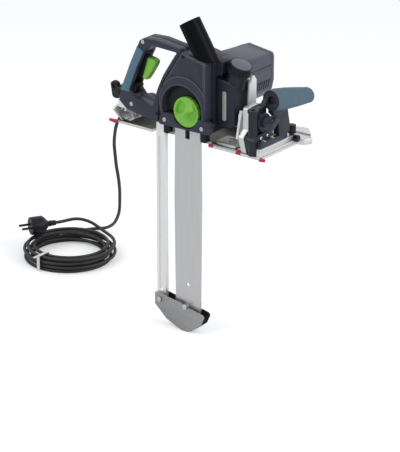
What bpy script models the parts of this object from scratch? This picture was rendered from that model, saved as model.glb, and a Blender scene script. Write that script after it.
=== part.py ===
"""A corded carpentry chain saw with a long guide bar, a bevelling base and a coiled mains lead.

The saw is modelled in metres with +Z up. X runs forward along the cut, +Y away from the bar towards
the motor. Every piece is drawn from the point where the bar's middle plane crosses the sole, and two
empties carry that point to its place in the part: one for the base, one for the tilting machine.
"""
import math

import bmesh
import bpy
from mathutils import Matrix, Vector

# Fits that all pieces share
GAP = 0.0003
OVERRUN = 0.001
MERGE = 0.00001
BORE_FIT = 0.0005
BAR_LEAD = 0.050            # the bar stands this far in front of the part's origin
SINK = 0.0008               # how deep a screw head's seat is cut
TILT = math.radians(60)
SHARP = math.radians(32)

# Numbers of facets
BIG_STEPS = 32
ROUND_STEPS = 20
SMALL_STEPS = 12
SCREW_STEPS = 8
ARC_STEPS = 10
CORNER_STEPS = 2

# Base plate, along X from back to front and along Y from near to far
BASE_BACK = -0.157
BASE_FRONT = 0.153
BASE_NEAR = 0.001
BASE_FAR = 0.103
BASE_THICK = 0.005
NOTCH_BACK = -0.080
NOTCH_FRONT = 0.042
NOTCH_FAR = 0.013
EDGE_FRONT = 0.111
EDGE_FAR = 0.008
RIM_WIDE = 0.005
RIM_HIGH = 0.012
CROSS_RIB_X = 0.131
CROSS_RIB_NEAR = 0.064
PAD_BACK = 0.048
PAD_FRONT = 0.092
PAD_NEAR = 0.012
PAD_FAR = 0.048
PAD_HIGH = 0.009
PAD_ROUND = 0.006
WINDOW_NEAR = 0.012
WINDOW_FAR = 0.080
WINDOW_SIDE = 0.002         # room on each side of a tilt segment

# Splinter guard and the red cut pointers
GUARD_STRIP_LOW = 0.0003
GUARD_STRIP_HIGH = 0.005
POINTER_LONG = 0.010
POINTER_REAR_LONG = 0.018
POINTER_WIDE = 0.009
POINTER_LOW = 0.0005

# Tilt clamps: a stud on the base runs in an arc slot of each machine segment
FRONT_STUD_Y = 0.023
FRONT_STUD_Z = 0.061
REAR_STUD_Y = 0.015
REAR_STUD_Z = 0.055
STUD_R = 0.004
STUD_HEAD_R = 0.0075
STUD_HEAD_LONG = 0.0028
GUIDE_PIN_R = 0.0025
FRONT_PIN_ARM = 0.035
REAR_PIN_ARM = 0.033
SLOT_FIT = 0.0005
SEGMENT_THICK = 0.004
SEGMENT_RIM = 0.0055        # metal left round the slots
SEGMENT_END = math.radians(8)
FRONT_SEGMENT_X = 0.097
REAR_SEGMENT_X = -0.1435

# Front bracket, clamp housing and knob
FRONT_BRACKET_X = 0.112
FRONT_BRACKET_THICK = 0.011
FRONT_BRACKET_NEAR = -0.0078
FRONT_BRACKET_DEEP = 0.108
FRONT_BRACKET_HIGH = 0.0807
FRONT_BRACKET_SHARES = [
    (0.086, 0.0), (0.0, 0.393), (0.128, 0.504), (0.128, 0.963), (0.184, 1.0), (0.443, 1.0),
    (0.49, 0.653), (0.72, 0.38), (1.0, 0.11), (1.0, 0.0)]
BRACKET_ROUND = 0.003
BRACKET_WINDOW_SHARES = [(0.36, 0.13), (0.40, 0.42), (0.66, 0.26), (0.84, 0.10)]
CLAMP_BODY_LONG = 0.0214
CLAMP_SKIRT_SHARES = [
    (0.096, 0.0), (0.012, 0.36), (0.07, 0.43), (0.16, 0.46), (0.43, 0.46), (0.43, 0.0)]
CLAMP_WEB_LONG = 0.0137
CLAMP_WEB_SHARES = [(0.14, 0.30), (0.14, 0.93), (0.20, 0.98), (0.42, 0.98), (0.44, 0.30)]
CLAMP_HUB_R = 0.016
CLAMP_HUB_LONG = 0.0217
COLUMN_X = 0.1345
COLUMN_Y = 0.004
COLUMN_R = 0.008
COLUMN_HIGH = 0.085
COLUMN_RING_R = 0.0095
COLUMN_RING_HIGH = 0.004
COLUMN_WELL_R = 0.0045
COLUMN_WELL_DEEP = 0.012
WING_HUB_R = 0.0095
WING_HUB_LONG = 0.006
WING_SPAN = 0.032
WING_LONG = 0.015
WING_THICK = 0.008
WING_HOLE_R = 0.0042
WING_ROUND = 0.005
FRONT_WING_TURN = math.radians(35)
REAR_WING_TURN = math.radians(80)

# Front rail, beam and auxiliary handle
RAIL_X = 0.145
RAIL_THICK = 0.008
RAIL_NEAR = 0.0
RAIL_FAR = 0.103
RAIL_TOP = 0.020
RAIL_GROOVE_LOW = 0.0105
RAIL_GROOVE_HIGH = 0.0155
RAIL_GROOVE_DEEP = 0.0025
BEAM_NEAR = 0.002
BEAM_FAR = 0.077
BEAM_HIGH = 0.0107
BEAM_ROUND = 0.002
GRIP_NEAR_AT = (0.150, 0.042, 0.0965)
GRIP_FAR_AT = (0.150, 0.146, 0.0780)
GRIP_CORE_R = 0.0095
GRIP_BORE_DEEP_SHARE = 0.86
GRIP_STATION_SHARES = [0.0, 0.06, 0.30, 0.55, 0.78, 0.90, 0.965, 1.0]
GRIP_RADII = [0.0160, 0.0175, 0.0160, 0.0168, 0.0178, 0.0150, 0.0095, 0.0]
GRIP_HEAD_LONG = 0.009
GRIP_HEAD_R = 0.0165
GRIP_WELL_R = 0.0075
GRIP_WELL_DEEP = 0.006
POST_BACK = 0.1435
POST_FRONT = 0.1545
POST_NEAR = 0.034
POST_DEEP = 0.047
POST_TOP = 0.098
POST_SHARES = [
    (0.37, 0.0), (1.0, 0.0), (1.0, 0.21), (0.87, 0.62), (0.955, 0.80), (0.825, 0.98),
    (0.0, 0.98), (0.0, 0.66), (0.28, 0.48)]
POST_ROUND = 0.002
FIN_BACK = 0.1335
FIN_FRONT = 0.1437
FIN_NEAR = 0.019
FIN_DEEP = 0.056
FIN_LOW = 0.0865
FIN_HIGH = 0.022
FIN_SHARES = [(0.0, 0.0), (0.30, 0.62), (0.62, 1.0), (0.80, 0.80), (0.64, 0.42), (0.64, 0.0)]

# Guide-rail clamp knobs and the adapter on the far front corner
SMALL_KNOB_R = 0.00725
SMALL_KNOB_HIGH = 0.0177
SMALL_KNOB_NECK_R = 0.0045
SMALL_KNOB_NECK_HIGH = 0.003
SMALL_KNOB_RIDGES = 12
SMALL_KNOB_GROOVE = 0.0006
FRONT_KNOB_Y = 0.0945
REAR_KNOB_X = -0.153
REAR_KNOB_Y = 0.090
KNOB_BOSS_R = 0.0085
HEX_KNOB_R = 0.0065
HEX_KNOB_LONG = 0.0087
HEX_KNOB_Z = 0.0145
HEX_SIDES = 6
ADAPTER_THICK = 0.010
ADAPTER_BACK = 0.118
ADAPTER_WIDE = 0.055
ADAPTER_LONG = 0.058
ADAPTER_SHARES = [
    (0.0, 0.0), (0.62, 0.0), (0.86, 0.08), (1.0, 0.32), (0.34, 1.0), (-0.08, 0.90), (0.10, 0.45)]
ADAPTER_GROOVE_WIDE = 0.010
ADAPTER_GROOVE_DEEP = 0.004

# Rear bracket and clamp housing
REAR_BRACKET_X = -0.151
REAR_BRACKET_THICK = 0.005
REAR_BRACKET_NEAR = -0.0227
REAR_BRACKET_DEEP = 0.083
REAR_BRACKET_HIGH = 0.0707
REAR_BRACKET_SHARES = [
    (0.31, 0.0), (0.0, 0.42), (0.22, 0.48), (0.37, 0.56), (0.37, 0.92), (0.44, 1.0),
    (0.66, 1.0), (1.0, 0.49), (1.0, 0.0)]
REAR_BODY_LONG = 0.0067
REAR_BODY_SHARES = [(0.36, 0.0), (0.20, 0.30), (0.36, 0.50), (0.40, 0.80), (0.66, 0.80), (0.80, 0.0)]
REAR_HUB_R = 0.013

# Gear housing: the casting that everything on the machine is bolted to
BODY_BACK = -0.054
BODY_LOW = 0.024
BODY_WIDE = 0.106
BODY_HIGH = 0.141
BODY_JOIN_SHARES = [(0.0, 0.0), (0.035, 0.34), (0.12, 0.575), (0.49, 1.0)]
BODY_FRONT_SHARES = [(0.945, 0.933), (1.0, 0.893), (1.0, 0.043), (0.945, 0.0)]
BODY_ROUND = 0.002
HOUSING_NEAR = 0.0026
HOUSING_FAR = 0.048
HOUSING_WALL = 0.004
HOUSING_FLOOR = 0.0064
SHOULDER_NEAR = 0.012
SHOULDER_WIDE = 0.018
SHOULDER_SHARES = [(0.0, 0.0), (0.8, 0.0), (1.0, 0.15), (1.0, 0.87), (0.0, 1.0)]
SHOULDER_LOW = 0.128
SHOULDER_TOP = 0.1555
ARM_LUG_BACK = -0.068
ARM_LUG_FRONT = -0.046
ARM_LUG_LOW = 0.006
ARM_LUG_HIGH = 0.026
ARM_LUG_THICK = 0.0057

# Spindle, gears and sprocket
SPINDLE_X = 0.003
SPINDLE_Z = 0.110
MOTOR_Z = 0.0805
SPINDLE_R = 0.005
SPINDLE_NEAR = -0.008
SPROCKET_R = 0.018
SPROCKET_ROOT_R = 0.0145
SPROCKET_TEETH = 8
SPROCKET_HALF = 0.0022
CIRCLIP_R = 0.0075
CIRCLIP_HALF = 0.0006
CIRCLIP_Y = -0.0032
BEARING_R = 0.0115
BEARING_LONG = 0.008
FRONT_BEARING_Y = 0.0050
REAR_BEARING_Y = 0.0405
BEARING_BOSS_WALL = 0.003
GEAR_R = 0.0225
GEAR_NEAR = 0.015
GEAR_FAR = 0.025
GEAR_TEETH = 30
GEAR_TOOTH_DEEP = 0.0014
PINION_R = 0.0066
PINION_TEETH = 9
PINION_TOOTH_DEEP = 0.0012
PINION_NEAR = 0.0145
PINION_FAR = 0.0255

# Motor
SHAFT_R = 0.004
SHAFT_NEAR = 0.0125
SHAFT_FAR = 0.1840
MOTOR_BEARING_R = 0.0095
MOTOR_BEARING_LONG = 0.007
MOTOR_BEARING_NEAR = 0.0465
MOTOR_BEARING_FAR = 0.1765
FAN_NEAR = 0.0575
FAN_FAR = 0.0675
FAN_R = 0.028
FAN_BLADES = 9
FAN_PLATE = 0.002
FAN_BLADE_THICK = 0.0016
CORE_R = 0.0205
CORE_NEAR = 0.078
CORE_FAR = 0.132
WINDING_R = 0.0165
WINDING_LONG = 0.006
COMMUTATOR_R = 0.012
COMMUTATOR_NEAR = 0.148
COMMUTATOR_FAR = 0.164
STATOR_BORE_R = 0.0212
STATOR_NEAR = 0.074
STATOR_FAR = 0.137
BRUSH_R = 0.0035
BRUSH_LONG = 0.014
BRUSH_SLEEVE_R = 0.0055
BRUSH_Y = 0.156
MOTOR_NEAR = 0.0483
MOTOR_FAR = 0.178
MOTOR_CAVITY_R = 0.0315
PARTITION = 0.0075
MOTOR_BACK = -0.040
MOTOR_WIDE = 0.082
MOTOR_LOW = 0.040
MOTOR_HIGH = 0.099
MOTOR_SHARES = [
    (0.20, 0.0), (0.0, 0.18), (0.0, 0.66), (0.12, 0.88), (0.35, 1.0), (0.97, 0.889), (1.0, 0.80),
    (1.0, 0.32), (0.95, 0.14), (0.80, 0.0)]
MOTOR_ROUND = 0.004
MOTOR_DROOP = 0.011         # how far the motor's top falls towards its far end
MOTOR_DROOP_SHARE = 0.70    # how high up the motor the droop starts
GROOVE_WIDE = 0.0025
GROOVE_DEEP = 0.0015
GROOVE_Z_SHARES = [0.34, 0.60]
VENT_COUNT = 6
VENT_WIDE = 0.003
VENT_HIGH = 0.014
VENT_PITCH = 0.0065
VENT_FIRST_Y = 0.139
VENT_Z = 0.060
CAP_LONG = 0.012
CAP_INSET = 0.003
CAP_WALL = 0.004
CORD_BOSS_BACK = -0.062
CORD_BOSS_FRONT = -0.036
CORD_BOSS_NEAR = 0.060
CORD_BOSS_FAR = 0.084
CORD_BOSS_LOW = 0.024
CORD_BOSS_HIGH = 0.054
CORD_BOSS_ROUND = 0.004
CORD_Y = 0.072
CORD_Z = 0.036
GLAND_R = 0.0065
GLAND_SEAT = 0.008
GLAND_COLLAR_R = 0.0080
GLAND_COLLAR_LONG = 0.003
GLAND_TIP_R = 0.0045
GLAND_RIBS = 3
GLAND_RIB_HIGH = 0.0008

# Chain cover, lower cover and what they hold
COVER_NEAR = -0.016
COVER_FAR = 0.0023
COVER_WALL = 0.003
COVER_FRONT_SHARES = [(0.93, 0.935), (0.967, 0.893), (0.967, 0.194), (0.018, 0.177)]
RING_X = 0.003
RING_Z = 0.070
RING_R = 0.053
RING_RAISE = 0.0018
DISH_X = -0.001
DISH_Z = 0.062
DISH_RIM_R = 0.0425
DISH_FLOOR_R = 0.0370
DISH_FLOOR_NEAR = -0.0056
DISH_FLOOR_FAR = -0.0026
FLOOR_DISC_R = 0.0275
STUD_X = 0.005
STUD_Z = 0.058
LOWER_NEAR = -0.0150
LOWER_FAR = -0.0050
LOWER_LOW = 0.026
LOWER_HIGH = 0.0225
LOWER_BACK = -0.0518
LOWER_WIDE = 0.1113
LOWER_SHARES = [(0.0, 0.0), (0.97, 0.09), (1.0, 0.93), (0.90, 1.15), (0.0, 1.15)]
KNOB_ROOM = 0.0015
GUIDE_BLOCK_WIDE = 0.011
GUIDE_BLOCK_BACK = -0.046
GUIDE_BLOCK_FRONT = 0.034
GUIDE_BLOCK_LOW = 0.010
GUIDE_BLOCK_HIGH = 0.042
KNOB_R = 0.027
KNOB_NEAR = -0.0135
KNOB_FAR = -0.0059
KNOB_RIM_CUT = 0.002
KNOB_WING_WIDE = 0.009
KNOB_WING_RAISE = 0.006
KNOB_WING_TURN = math.radians(25)
KNOB_NOTCHES = 18
KNOB_NOTCH_DEEP = 0.0006
CLAMP_STUD_R = 0.004
CLAMP_STUD_NEAR = -0.0105
CLAMP_STUD_FAR = 0.016
CLAMP_STUD_HEAD_R = 0.008
CLAMP_STUD_HEAD_LONG = 0.004

# Guide bar and its nose
BAR_HALF = 0.0023
BAR_TAIL_Z = 0.088
BAR_TAIL_HALF = 0.022
BAR_TOP_Z = 0.068
BAR_TOP_HALF = 0.0262
BAR_MID_Z = -0.105
BAR_MID_HALF = 0.029
BAR_END_Z = -0.275
BAR_NOSE_Z = -0.3037
BAR_NOSE_R = 0.027
BAR_GROOVE_HALF = 0.0008
BAR_SLOT_HALF = 0.0043
BAR_SLOT_LOW = 0.020
BAR_WINDOW_R = 0.0125
NOSE_POCKET_R = 0.0292
NOSE_BOSS_R = 0.0055
NOSE_BORE_R = 0.0028
NOSE_SPROCKET_R = 0.0286
NOSE_ROOT_R = 0.0262
NOSE_TEETH = 11
NOSE_THICK = 0.001

# Support arm and tip guard
ARM_BACK = -0.0673
ARM_FRONT = -0.0472
ARM_HALF = 0.004
ARM_LOW = -0.312
ARM_CHANNEL_WIDE = 0.011
ARM_CHANNEL_DEEP = 0.003
ARM_CHANNEL_TOP_SHARE = 0.93
ARM_CHANNEL_LOW_SHARE = 0.07
TIP_BACK = -0.068
TIP_WIDE = 0.1097
TIP_TOP = -0.291
TIP_HIGH = 0.062
TIP_SHARES = [
    (0.0, 0.0), (0.26, 0.08), (0.52, 0.13), (0.625, 0.205), (0.967, 0.316), (1.0, 0.377),
    (0.93, 0.645), (0.738, 0.92), (0.593, 1.0), (0.237, 0.76), (0.09, 0.53), (0.0, 0.40)]
TIP_NEAR = 0.0080
TIP_THICK = 0.0015
BOLT_X = -0.0573
BOLT_R = 0.0025
BOLT_HEAD_R = 0.0048
BOLT_HEAD_LONG = 0.0028
SPACER_R = 0.0048

# D-shaped rear handle: two moulded shells, drawn on the frame that the gear housing's edge closes
HANDLE_BACK = -0.1389
HANDLE_LOW = 0.0298
HANDLE_WIDE = 0.1365
HANDLE_HIGH = 0.1447
HANDLE_SHARES = [
    (1.0, 0.935), (0.98, 0.958), (0.615, 1.0), (0.40, 0.99), (0.345, 0.955), (0.197, 0.658),
    (0.029, 0.276), (0.0, 0.149), (0.124, 0.058), (0.36, 0.022), (0.60, 0.0), (0.74, 0.0),
    (0.82, 0.50), (1.0, 0.80)]
HOLE_SHARES = [
    (0.534, 0.924), (0.42, 0.831), (0.30, 0.60), (0.179, 0.311), (0.259, 0.228), (0.538, 0.166),
    (0.581, 0.288), (0.629, 0.421), (0.718, 0.60), (0.907, 0.879), (0.94, 0.911)]
HANDLE_ROUND = 0.003
HOLE_ROUND = 0.004
HANDLE_HALF = 0.017
HANDLE_PART = 0.00015       # each shell stops this far from the parting plane
HANDLE_SOFT = 0.0025
CAVITY_HALF = 0.0105
CAVITY_SHARES = [(0.36, 0.80), (0.09, 0.30), (0.075, 0.13), (0.24, 0.13), (0.225, 0.24), (0.27, 0.40),
                 (0.42, 0.79)]
TRIGGER_SLOT_SHARES = [(0.185, 0.42), (0.52, 0.42), (0.56, 0.76), (0.345, 0.845)]
TRIGGER_SLOT_HALF = 0.0088
HEAD_PATH_HALF = 0.010
GRIP_PAD_THICK = 0.0022
GRIP_PAD_PROUD = 0.0010
GRIP_PAD_EDGE = 0.0015      # the pad stops this far from the finger hole
GRIP_PAD_SHARES = [(-0.08, 0.285), (0.20, 0.285), (0.34, 0.60), (0.46, 0.80), (0.25, 0.90)]

# Trigger, lock-off button and switch
TRIGGER_PIVOT_X = -0.088
TRIGGER_PIVOT_Z = 0.1425
TRIGGER_HALF = 0.008
TRIGGER_BACK = -0.104
TRIGGER_LOW = 0.092
TRIGGER_BOSS_R = 0.0044
TRIGGER_PIN_R = 0.0018
TRIGGER_WIDE = 0.040
TRIGGER_HIGH = 0.046
TRIGGER_SHARES = [
    (0.80, 1.0), (1.0, 0.82), (0.52, 0.08), (0.26, 0.0), (0.0, 0.13), (0.28, 0.80), (0.42, 1.02)]
TRIGGER_ROUND = 0.0025
SWITCH_SHARES = [(0.085, 0.15), (0.225, 0.15), (0.225, 0.26), (0.25, 0.36), (0.18, 0.39), (0.12, 0.28)]
LOCK_X = -0.084
LOCK_Z = 0.160
LOCK_R = 0.0055
LOCK_RISE = 0.0040
LOCK_TRAVEL = 0.003
LOCK_DEEP = 0.0105

# Oil tank, filler cap, window and pump
TANK_WIDE = 0.0375
TANK_LOW = 0.040
TANK_HIGH = 0.083
TANK_NEAR = 0.010
TANK_FAR = 0.049
TANK_SHARES = [
    (0.0, 0.0), (0.84, 0.0), (1.0, 0.10), (1.0, 0.80), (0.72, 0.90), (0.15, 1.0), (0.0, 1.0)]
TANK_ROUND = 0.003
TANK_WALL = 0.003
FILLER_AT = (0.0775, 0.030, 0.1165)
FILLER_LEAN = math.radians(21)
COLLAR_R = 0.016
COLLAR_LONG = 0.018
NECK_R = 0.0125
NECK_BORE_R = 0.009
NECK_LONG = 0.031
NECK_ROOT = 0.006
OIL_CAP_R = 0.0195
OIL_CAP_LONG = 0.0177
OIL_CAP_ROOF = 0.0035
OIL_CAP_DOME = 0.0015
OIL_CAP_FLUTES = 24
OIL_CAP_FLUTE_DEEP = 0.0007
SIGHT_X = 0.0696
SIGHT_WIDE = 0.008
SIGHT_LOW = 0.051
SIGHT_HIGH = 0.052
SIGHT_PROUD = 0.0006
SIGHT_THICK = 0.0036
PUMP_X = -0.028
PUMP_Z = 0.066
PUMP_R = 0.009
PUMP_NEAR = 0.0093
PUMP_LONG = 0.022
PUMP_FLANGE_R = 0.012
PUMP_FLANGE = 0.003

# Dust spout
SPOUT_AXIS_X = 0.0373       # where the tube's line meets the top of the housing
SWIVEL_X = 0.034
SPOUT_Y = 0.003
SPOUT_LEAN = math.radians(43.5)
SPOUT_LONG = 0.0685
SPOUT_R = 0.019
SPOUT_WALL = 0.003
SPOUT_BORE_FROM = 0.0195
SPOUT_FLANGE_R = 0.0205
SPOUT_FLANGE_HIGH = 0.003
DUCT_R = 0.012

# Tilt segments on the machine
SEGMENT_ARM_NEAR = 0.040
SEGMENT_ARM_WIDE = 0.018
SEGMENT_ARM_LOW = 0.044
SEGMENT_ARM_HIGH = 0.086
SEGMENT_ARM_SHARES = [(-0.15, 0.20), (1.0, 0.0), (1.0, 0.86), (0.56, 1.0), (0.0, 0.80)]
SEGMENT_ARM_ROUND = 0.003
SEGMENT_LUG_LOW = 0.098
SEGMENT_LUG_HIGH = 0.020
SEGMENT_LUG_NEAR = 0.050
SEGMENT_LUG_FAR = 0.0575
REAR_TAB_NEAR = -0.013
REAR_TAB_FAR = 0.010
REAR_TAB_LOW = 0.037
REAR_TAB_HIGH = 0.050
REAR_LUG_FAR = 0.003
REAR_LUG_FRONT = -0.124

# Screws: head and thread radius, head height and length
SCREW_HEAD_R = 0.0036
SCREW_LONG = 0.010
BASE_SCREW_HEAD_R = 0.0042

# Mains lead, coil, plug and tie: they lie on the floor below the tip guard
CORD_R = 0.0031
CORD_BACK = -0.0823
FLOOR_Z = -0.351
CORD_ROUTE = [
    (-0.0885, 0.0720, 0.0360), (-0.100, 0.0725, 0.0355), (-0.125, 0.073, 0.0335),
    (-0.150, 0.073, 0.032), (-0.170, 0.072, 0.027), (-0.186, 0.070, 0.014), (-0.198, 0.067, -0.006),
    (-0.210, 0.062, -0.030), (-0.223, 0.071, -0.056), (-0.233, 0.081, -0.080),
    (-0.242, 0.094, -0.107), (-0.252, 0.109, -0.135), (-0.263, 0.127, -0.164),
    (-0.277, 0.147, -0.195), (-0.296, 0.170, -0.228), (-0.318, 0.195, -0.262),
    (-0.341, 0.217, -0.289), (-0.370, 0.241, -0.317), (-0.396, 0.257, -0.336),
    (-0.414, 0.261, -0.3450), (-0.430, 0.255, -0.3479), (-0.443, 0.234, -0.3479),
    (-0.4510, 0.205, -0.3479), (-0.4552, 0.180, -0.3479)]
LEAD_SPACING = 0.016
COIL_X = -0.382
COIL_Y = 0.125
COIL_OUTER = 0.085
COIL_INNER = 0.066
COIL_LAYERS = 4
COIL_LAYER_TURNS = 1.5625
COIL_CLIMB_TURNS = 0.5
COIL_RISE = 0.00763
COIL_START = math.radians(160)
COIL_LOOP_POINTS = 24
TAIL_TURN = math.radians(80)
TAIL_RADIUS = 0.0614
TAIL_HIGH = 0.0207
TAIL_POINTS = 12
TAIL_RISE_SHARE = 0.7
TAIL_INWARD_SHARE = 0.35
LEAST_COIL_GAP = 0.0004
PLUG_BODY_R = 0.0172
PLUG_BACK_R = 0.0125
PLUG_RELIEF_R = 0.0050
PLUG_RELIEF_LONG = 0.016
PLUG_SHOULDER_LONG = 0.010
PLUG_BODY_LONG = 0.024
PLUG_RIBS = 3
PIN_R = 0.0024
PIN_LONG = 0.019
PIN_SPREAD = 0.0095
TIE_WIDE = 0.006
TIE_THICK = 0.0012
TIE_ROOM = 0.0006
TIE_TAIL = 0.012
HANDLE_SCREW_SHARES = [(0.20, 0.135), (0.62, 0.10), (0.395, 0.945)]
COVER_SCREW_SHARES = [(0.525, 0.945), (0.90, 0.30)]
CLAMP_SCREW_SHARES = [(0.20, 0.37), (0.37, 0.37)]
BEAM_SCREW_SHARES = [0.18, 0.50]

# How each part of the saw is coloured: sRGB hex, roughness, metallic
PAINTS = {
    "housing": ("#3A3B45", 0.55, 0.0),
    "black": ("#15151C", 0.60, 0.0),
    "motor": ("#4A4C55", 0.50, 0.0),
    "teal": ("#5B7A8A", 0.75, 0.0),
    "green": ("#7CC142", 0.45, 0.0),
    "cast": ("#D9D9D9", 0.45, 0.9),
    "plate": ("#4A4A42", 0.50, 0.6),
    "steel": ("#BABABA", 0.30, 1.0),
    "guard": ("#9A9A9A", 0.40, 0.9),
    "copper": ("#B06A3A", 0.40, 0.9),
    "red": ("#B0122A", 0.50, 0.0),
    "window": ("#909090", 0.25, 0.0),
    "grey": ("#C9C9C9", 0.50, 0.1),
    "cord": ("#2E2E2E", 0.60, 0.0),
    "tie": ("#E8E8E8", 0.60, 0.0),
}
AXES = {"X": (1, 2, 0), "Y": (0, 2, 1), "Z": (0, 1, 2)}
AXIS_X = Vector((1, 0, 0))
AXIS_Y = Vector((0, 1, 0))
AXIS_Z = Vector((0, 0, 1))


def clear_scene():
    """Remove every object, so that the saw is built in an empty scene."""
    for obj in list(bpy.data.objects):
        bpy.data.objects.remove(obj)


def linear(channel):
    """One sRGB channel from 0 to 1 as linear light."""
    if channel <= 0.04045:
        return channel / 12.92
    return ((channel + 0.055) / 1.055) ** 2.4


def paint(obj, kind):
    """Give an object its own material of one of the kinds above."""
    code, roughness, metallic = PAINTS[kind]
    channels = [int(code[start:start + 2], 16) / 255 for start in (1, 3, 5)]
    material = bpy.data.materials.new(obj.name)
    material.use_nodes = True
    shader = material.node_tree.nodes["Principled BSDF"]
    shader.inputs["Base Color"].default_value = [linear(value) for value in channels] + [1.0]
    shader.inputs["Roughness"].default_value = roughness
    shader.inputs["Metallic"].default_value = metallic
    obj.data.materials.clear()
    obj.data.materials.append(material)


def to_object(name, mesh):
    """Turn a bmesh into an object in the scene, with its faces pointing outwards."""
    bmesh.ops.recalc_face_normals(mesh, faces=mesh.faces)
    data = bpy.data.meshes.new(name)
    mesh.to_mesh(data)
    mesh.free()
    obj = bpy.data.objects.new(name, data)
    bpy.context.scene.collection.objects.link(obj)
    return obj


def spread(shares, low, size):
    """Points of an outline from its shares of a box with the given low corner and size."""
    return [(low[0] + a * size[0], low[1] + b * size[1]) for a, b in shares]


def place(axis, a, b, along):
    """The 3D point with coordinates a and b across an axis and a distance along it."""
    point = [0.0, 0.0, 0.0]
    first, second, third = AXES[axis]
    point[first] = a
    point[second] = b
    point[third] = along
    return Vector(point)


def signed_area(outline):
    """Twice the area inside an outline, positive where it runs anticlockwise."""
    total = 0.0
    for index, (a, b) in enumerate(outline):
        before = outline[index - 1]
        total += before[0] * b - a * before[1]
    return total


def grown(outline, distance):
    """The outline moved outwards by a distance, or inwards where it is negative, with mitred corners."""
    side = 1.0 if signed_area(outline) > 0 else -1.0
    points = [Vector(point) for point in outline]
    result = []
    for index, here in enumerate(points):
        back = (here - points[index - 1]).normalized()
        on = (points[(index + 1) % len(points)] - here).normalized()
        out_back = Vector((back.y, -back.x)) * side
        out_on = Vector((on.y, -on.x)) * side
        mitre = out_back + out_on
        reach = distance / max(mitre.dot(out_back), 0.3)
        result.append(tuple(here + mitre * reach))
    return result


def rounded(outline, radius, steps=CORNER_STEPS):
    """The outline with each corner turned into an arc, as large as its edges have room for."""
    result = []
    for index, corner in enumerate(outline):
        here = Vector(corner)
        before = Vector(outline[index - 1]) - here
        after = Vector(outline[(index + 1) % len(outline)]) - here
        half = before.angle(after) / 2
        if half > math.radians(82):
            result.append(tuple(here))
            continue
        reach = min(radius / math.tan(half), 0.45 * before.length, 0.45 * after.length)
        inner = reach * math.tan(half)
        middle = (before.normalized() + after.normalized()).normalized()
        centre = here + middle * (inner / math.sin(half))
        start = here + before.normalized() * reach - centre
        end = here + after.normalized() * reach - centre
        first = math.atan2(start.y, start.x)
        sweep = math.atan2(end.y, end.x) - first
        sweep = (sweep + math.pi) % (2 * math.pi) - math.pi
        for step in range(steps + 1):
            angle = first + sweep * step / steps
            result.append((centre.x + inner * math.cos(angle), centre.y + inner * math.sin(angle)))
    return result


def circle(a, b, radius, steps=ROUND_STEPS):
    """A round outline about a centre."""
    angles = [2 * math.pi * step / steps for step in range(steps)]
    return [(a + radius * math.cos(angle), b + radius * math.sin(angle)) for angle in angles]


def box_outline(low_a, high_a, low_b, high_b):
    """A rectangle from its four sides."""
    return [(low_a, low_b), (high_a, low_b), (high_a, high_b), (low_a, high_b)]


def toothed(a, b, tip, root, count, points=4):
    """A round outline with straight-sided teeth between a root and a tip radius."""
    result = []
    for step in range(count * points):
        radius = tip if step % points < points / 2 else root
        angle = 2 * math.pi * step / (count * points)
        result.append((a + radius * math.cos(angle), b + radius * math.sin(angle)))
    return result


def arc_slot(radius, half, first, last, steps=ARC_STEPS):
    """The outline of a slot with round ends that follows an arc about the zero point."""
    result = []
    for step in range(steps + 1):
        angle = first + (last - first) * step / steps
        result.append(((radius + half) * math.cos(angle), (radius + half) * math.sin(angle)))
    for step in range(1, SMALL_STEPS // 2):
        turn = last + math.pi * step / (SMALL_STEPS // 2)
        centre = (radius * math.cos(last), radius * math.sin(last))
        result.append((centre[0] + half * math.cos(turn), centre[1] + half * math.sin(turn)))
    for step in range(steps + 1):
        angle = last + (first - last) * step / steps
        result.append(((radius - half) * math.cos(angle), (radius - half) * math.sin(angle)))
    for step in range(1, SMALL_STEPS // 2):
        turn = first + math.pi + math.pi * step / (SMALL_STEPS // 2)
        centre = (radius * math.cos(first), radius * math.sin(first))
        result.append((centre[0] + half * math.cos(turn), centre[1] + half * math.sin(turn)))
    return result


def prism(name, outline, axis, low, high):
    """A straight solid: a flat face from the outline, extruded along one axis."""
    mesh = bmesh.new()
    face = mesh.faces.new([mesh.verts.new(place(axis, a, b, low)) for a, b in outline])
    raised = bmesh.ops.extrude_face_region(mesh, geom=[face])["geom"]
    tops = [item for item in raised if isinstance(item, bmesh.types.BMVert)]
    bmesh.ops.translate(mesh, vec=place(axis, 0, 0, high - low), verts=tops)
    return to_object(name, mesh)


def loft(name, rings):
    """A solid skin through rings of as many points each, closed at both ends."""
    mesh = bmesh.new()
    loops = [[mesh.verts.new(point) for point in ring] for ring in rings]
    for lower, upper in zip(loops, loops[1:]):
        for index in range(len(lower)):
            mesh.faces.new([lower[index - 1], lower[index], upper[index], upper[index - 1]])
    mesh.faces.new(loops[0])
    mesh.faces.new(loops[-1])
    return to_object(name, mesh)


def turned(name, profile, at, along, steps=ROUND_STEPS, closed=False):
    """A round solid: a profile of (distance, radius) pairs spun about the line through a point."""
    mesh = bmesh.new()
    verts = [mesh.verts.new((radius, 0, distance)) for distance, radius in profile]
    edges = [mesh.edges.new(pair) for pair in zip(verts, verts[1:])]
    if closed:
        edges.append(mesh.edges.new((verts[-1], verts[0])))
    bmesh.ops.spin(mesh, geom=verts + edges, cent=(0, 0, 0), axis=AXIS_Z, angle=2 * math.pi,
                   steps=steps, use_merge=True)
    bmesh.ops.remove_doubles(mesh, verts=mesh.verts, dist=MERGE)
    turn = Vector(along).to_track_quat("Z", "Y").to_matrix().to_4x4()
    bmesh.ops.transform(mesh, matrix=Matrix.Translation(at) @ turn, verts=mesh.verts)
    return to_object(name, mesh)


def drum(name, radius, at, along, low, high, steps=ROUND_STEPS):
    """A plain cylinder between two distances along its line."""
    profile = [(low, 0), (low, radius), (high, radius), (high, 0)]
    return turned(name, profile, at, along, steps)


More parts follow.
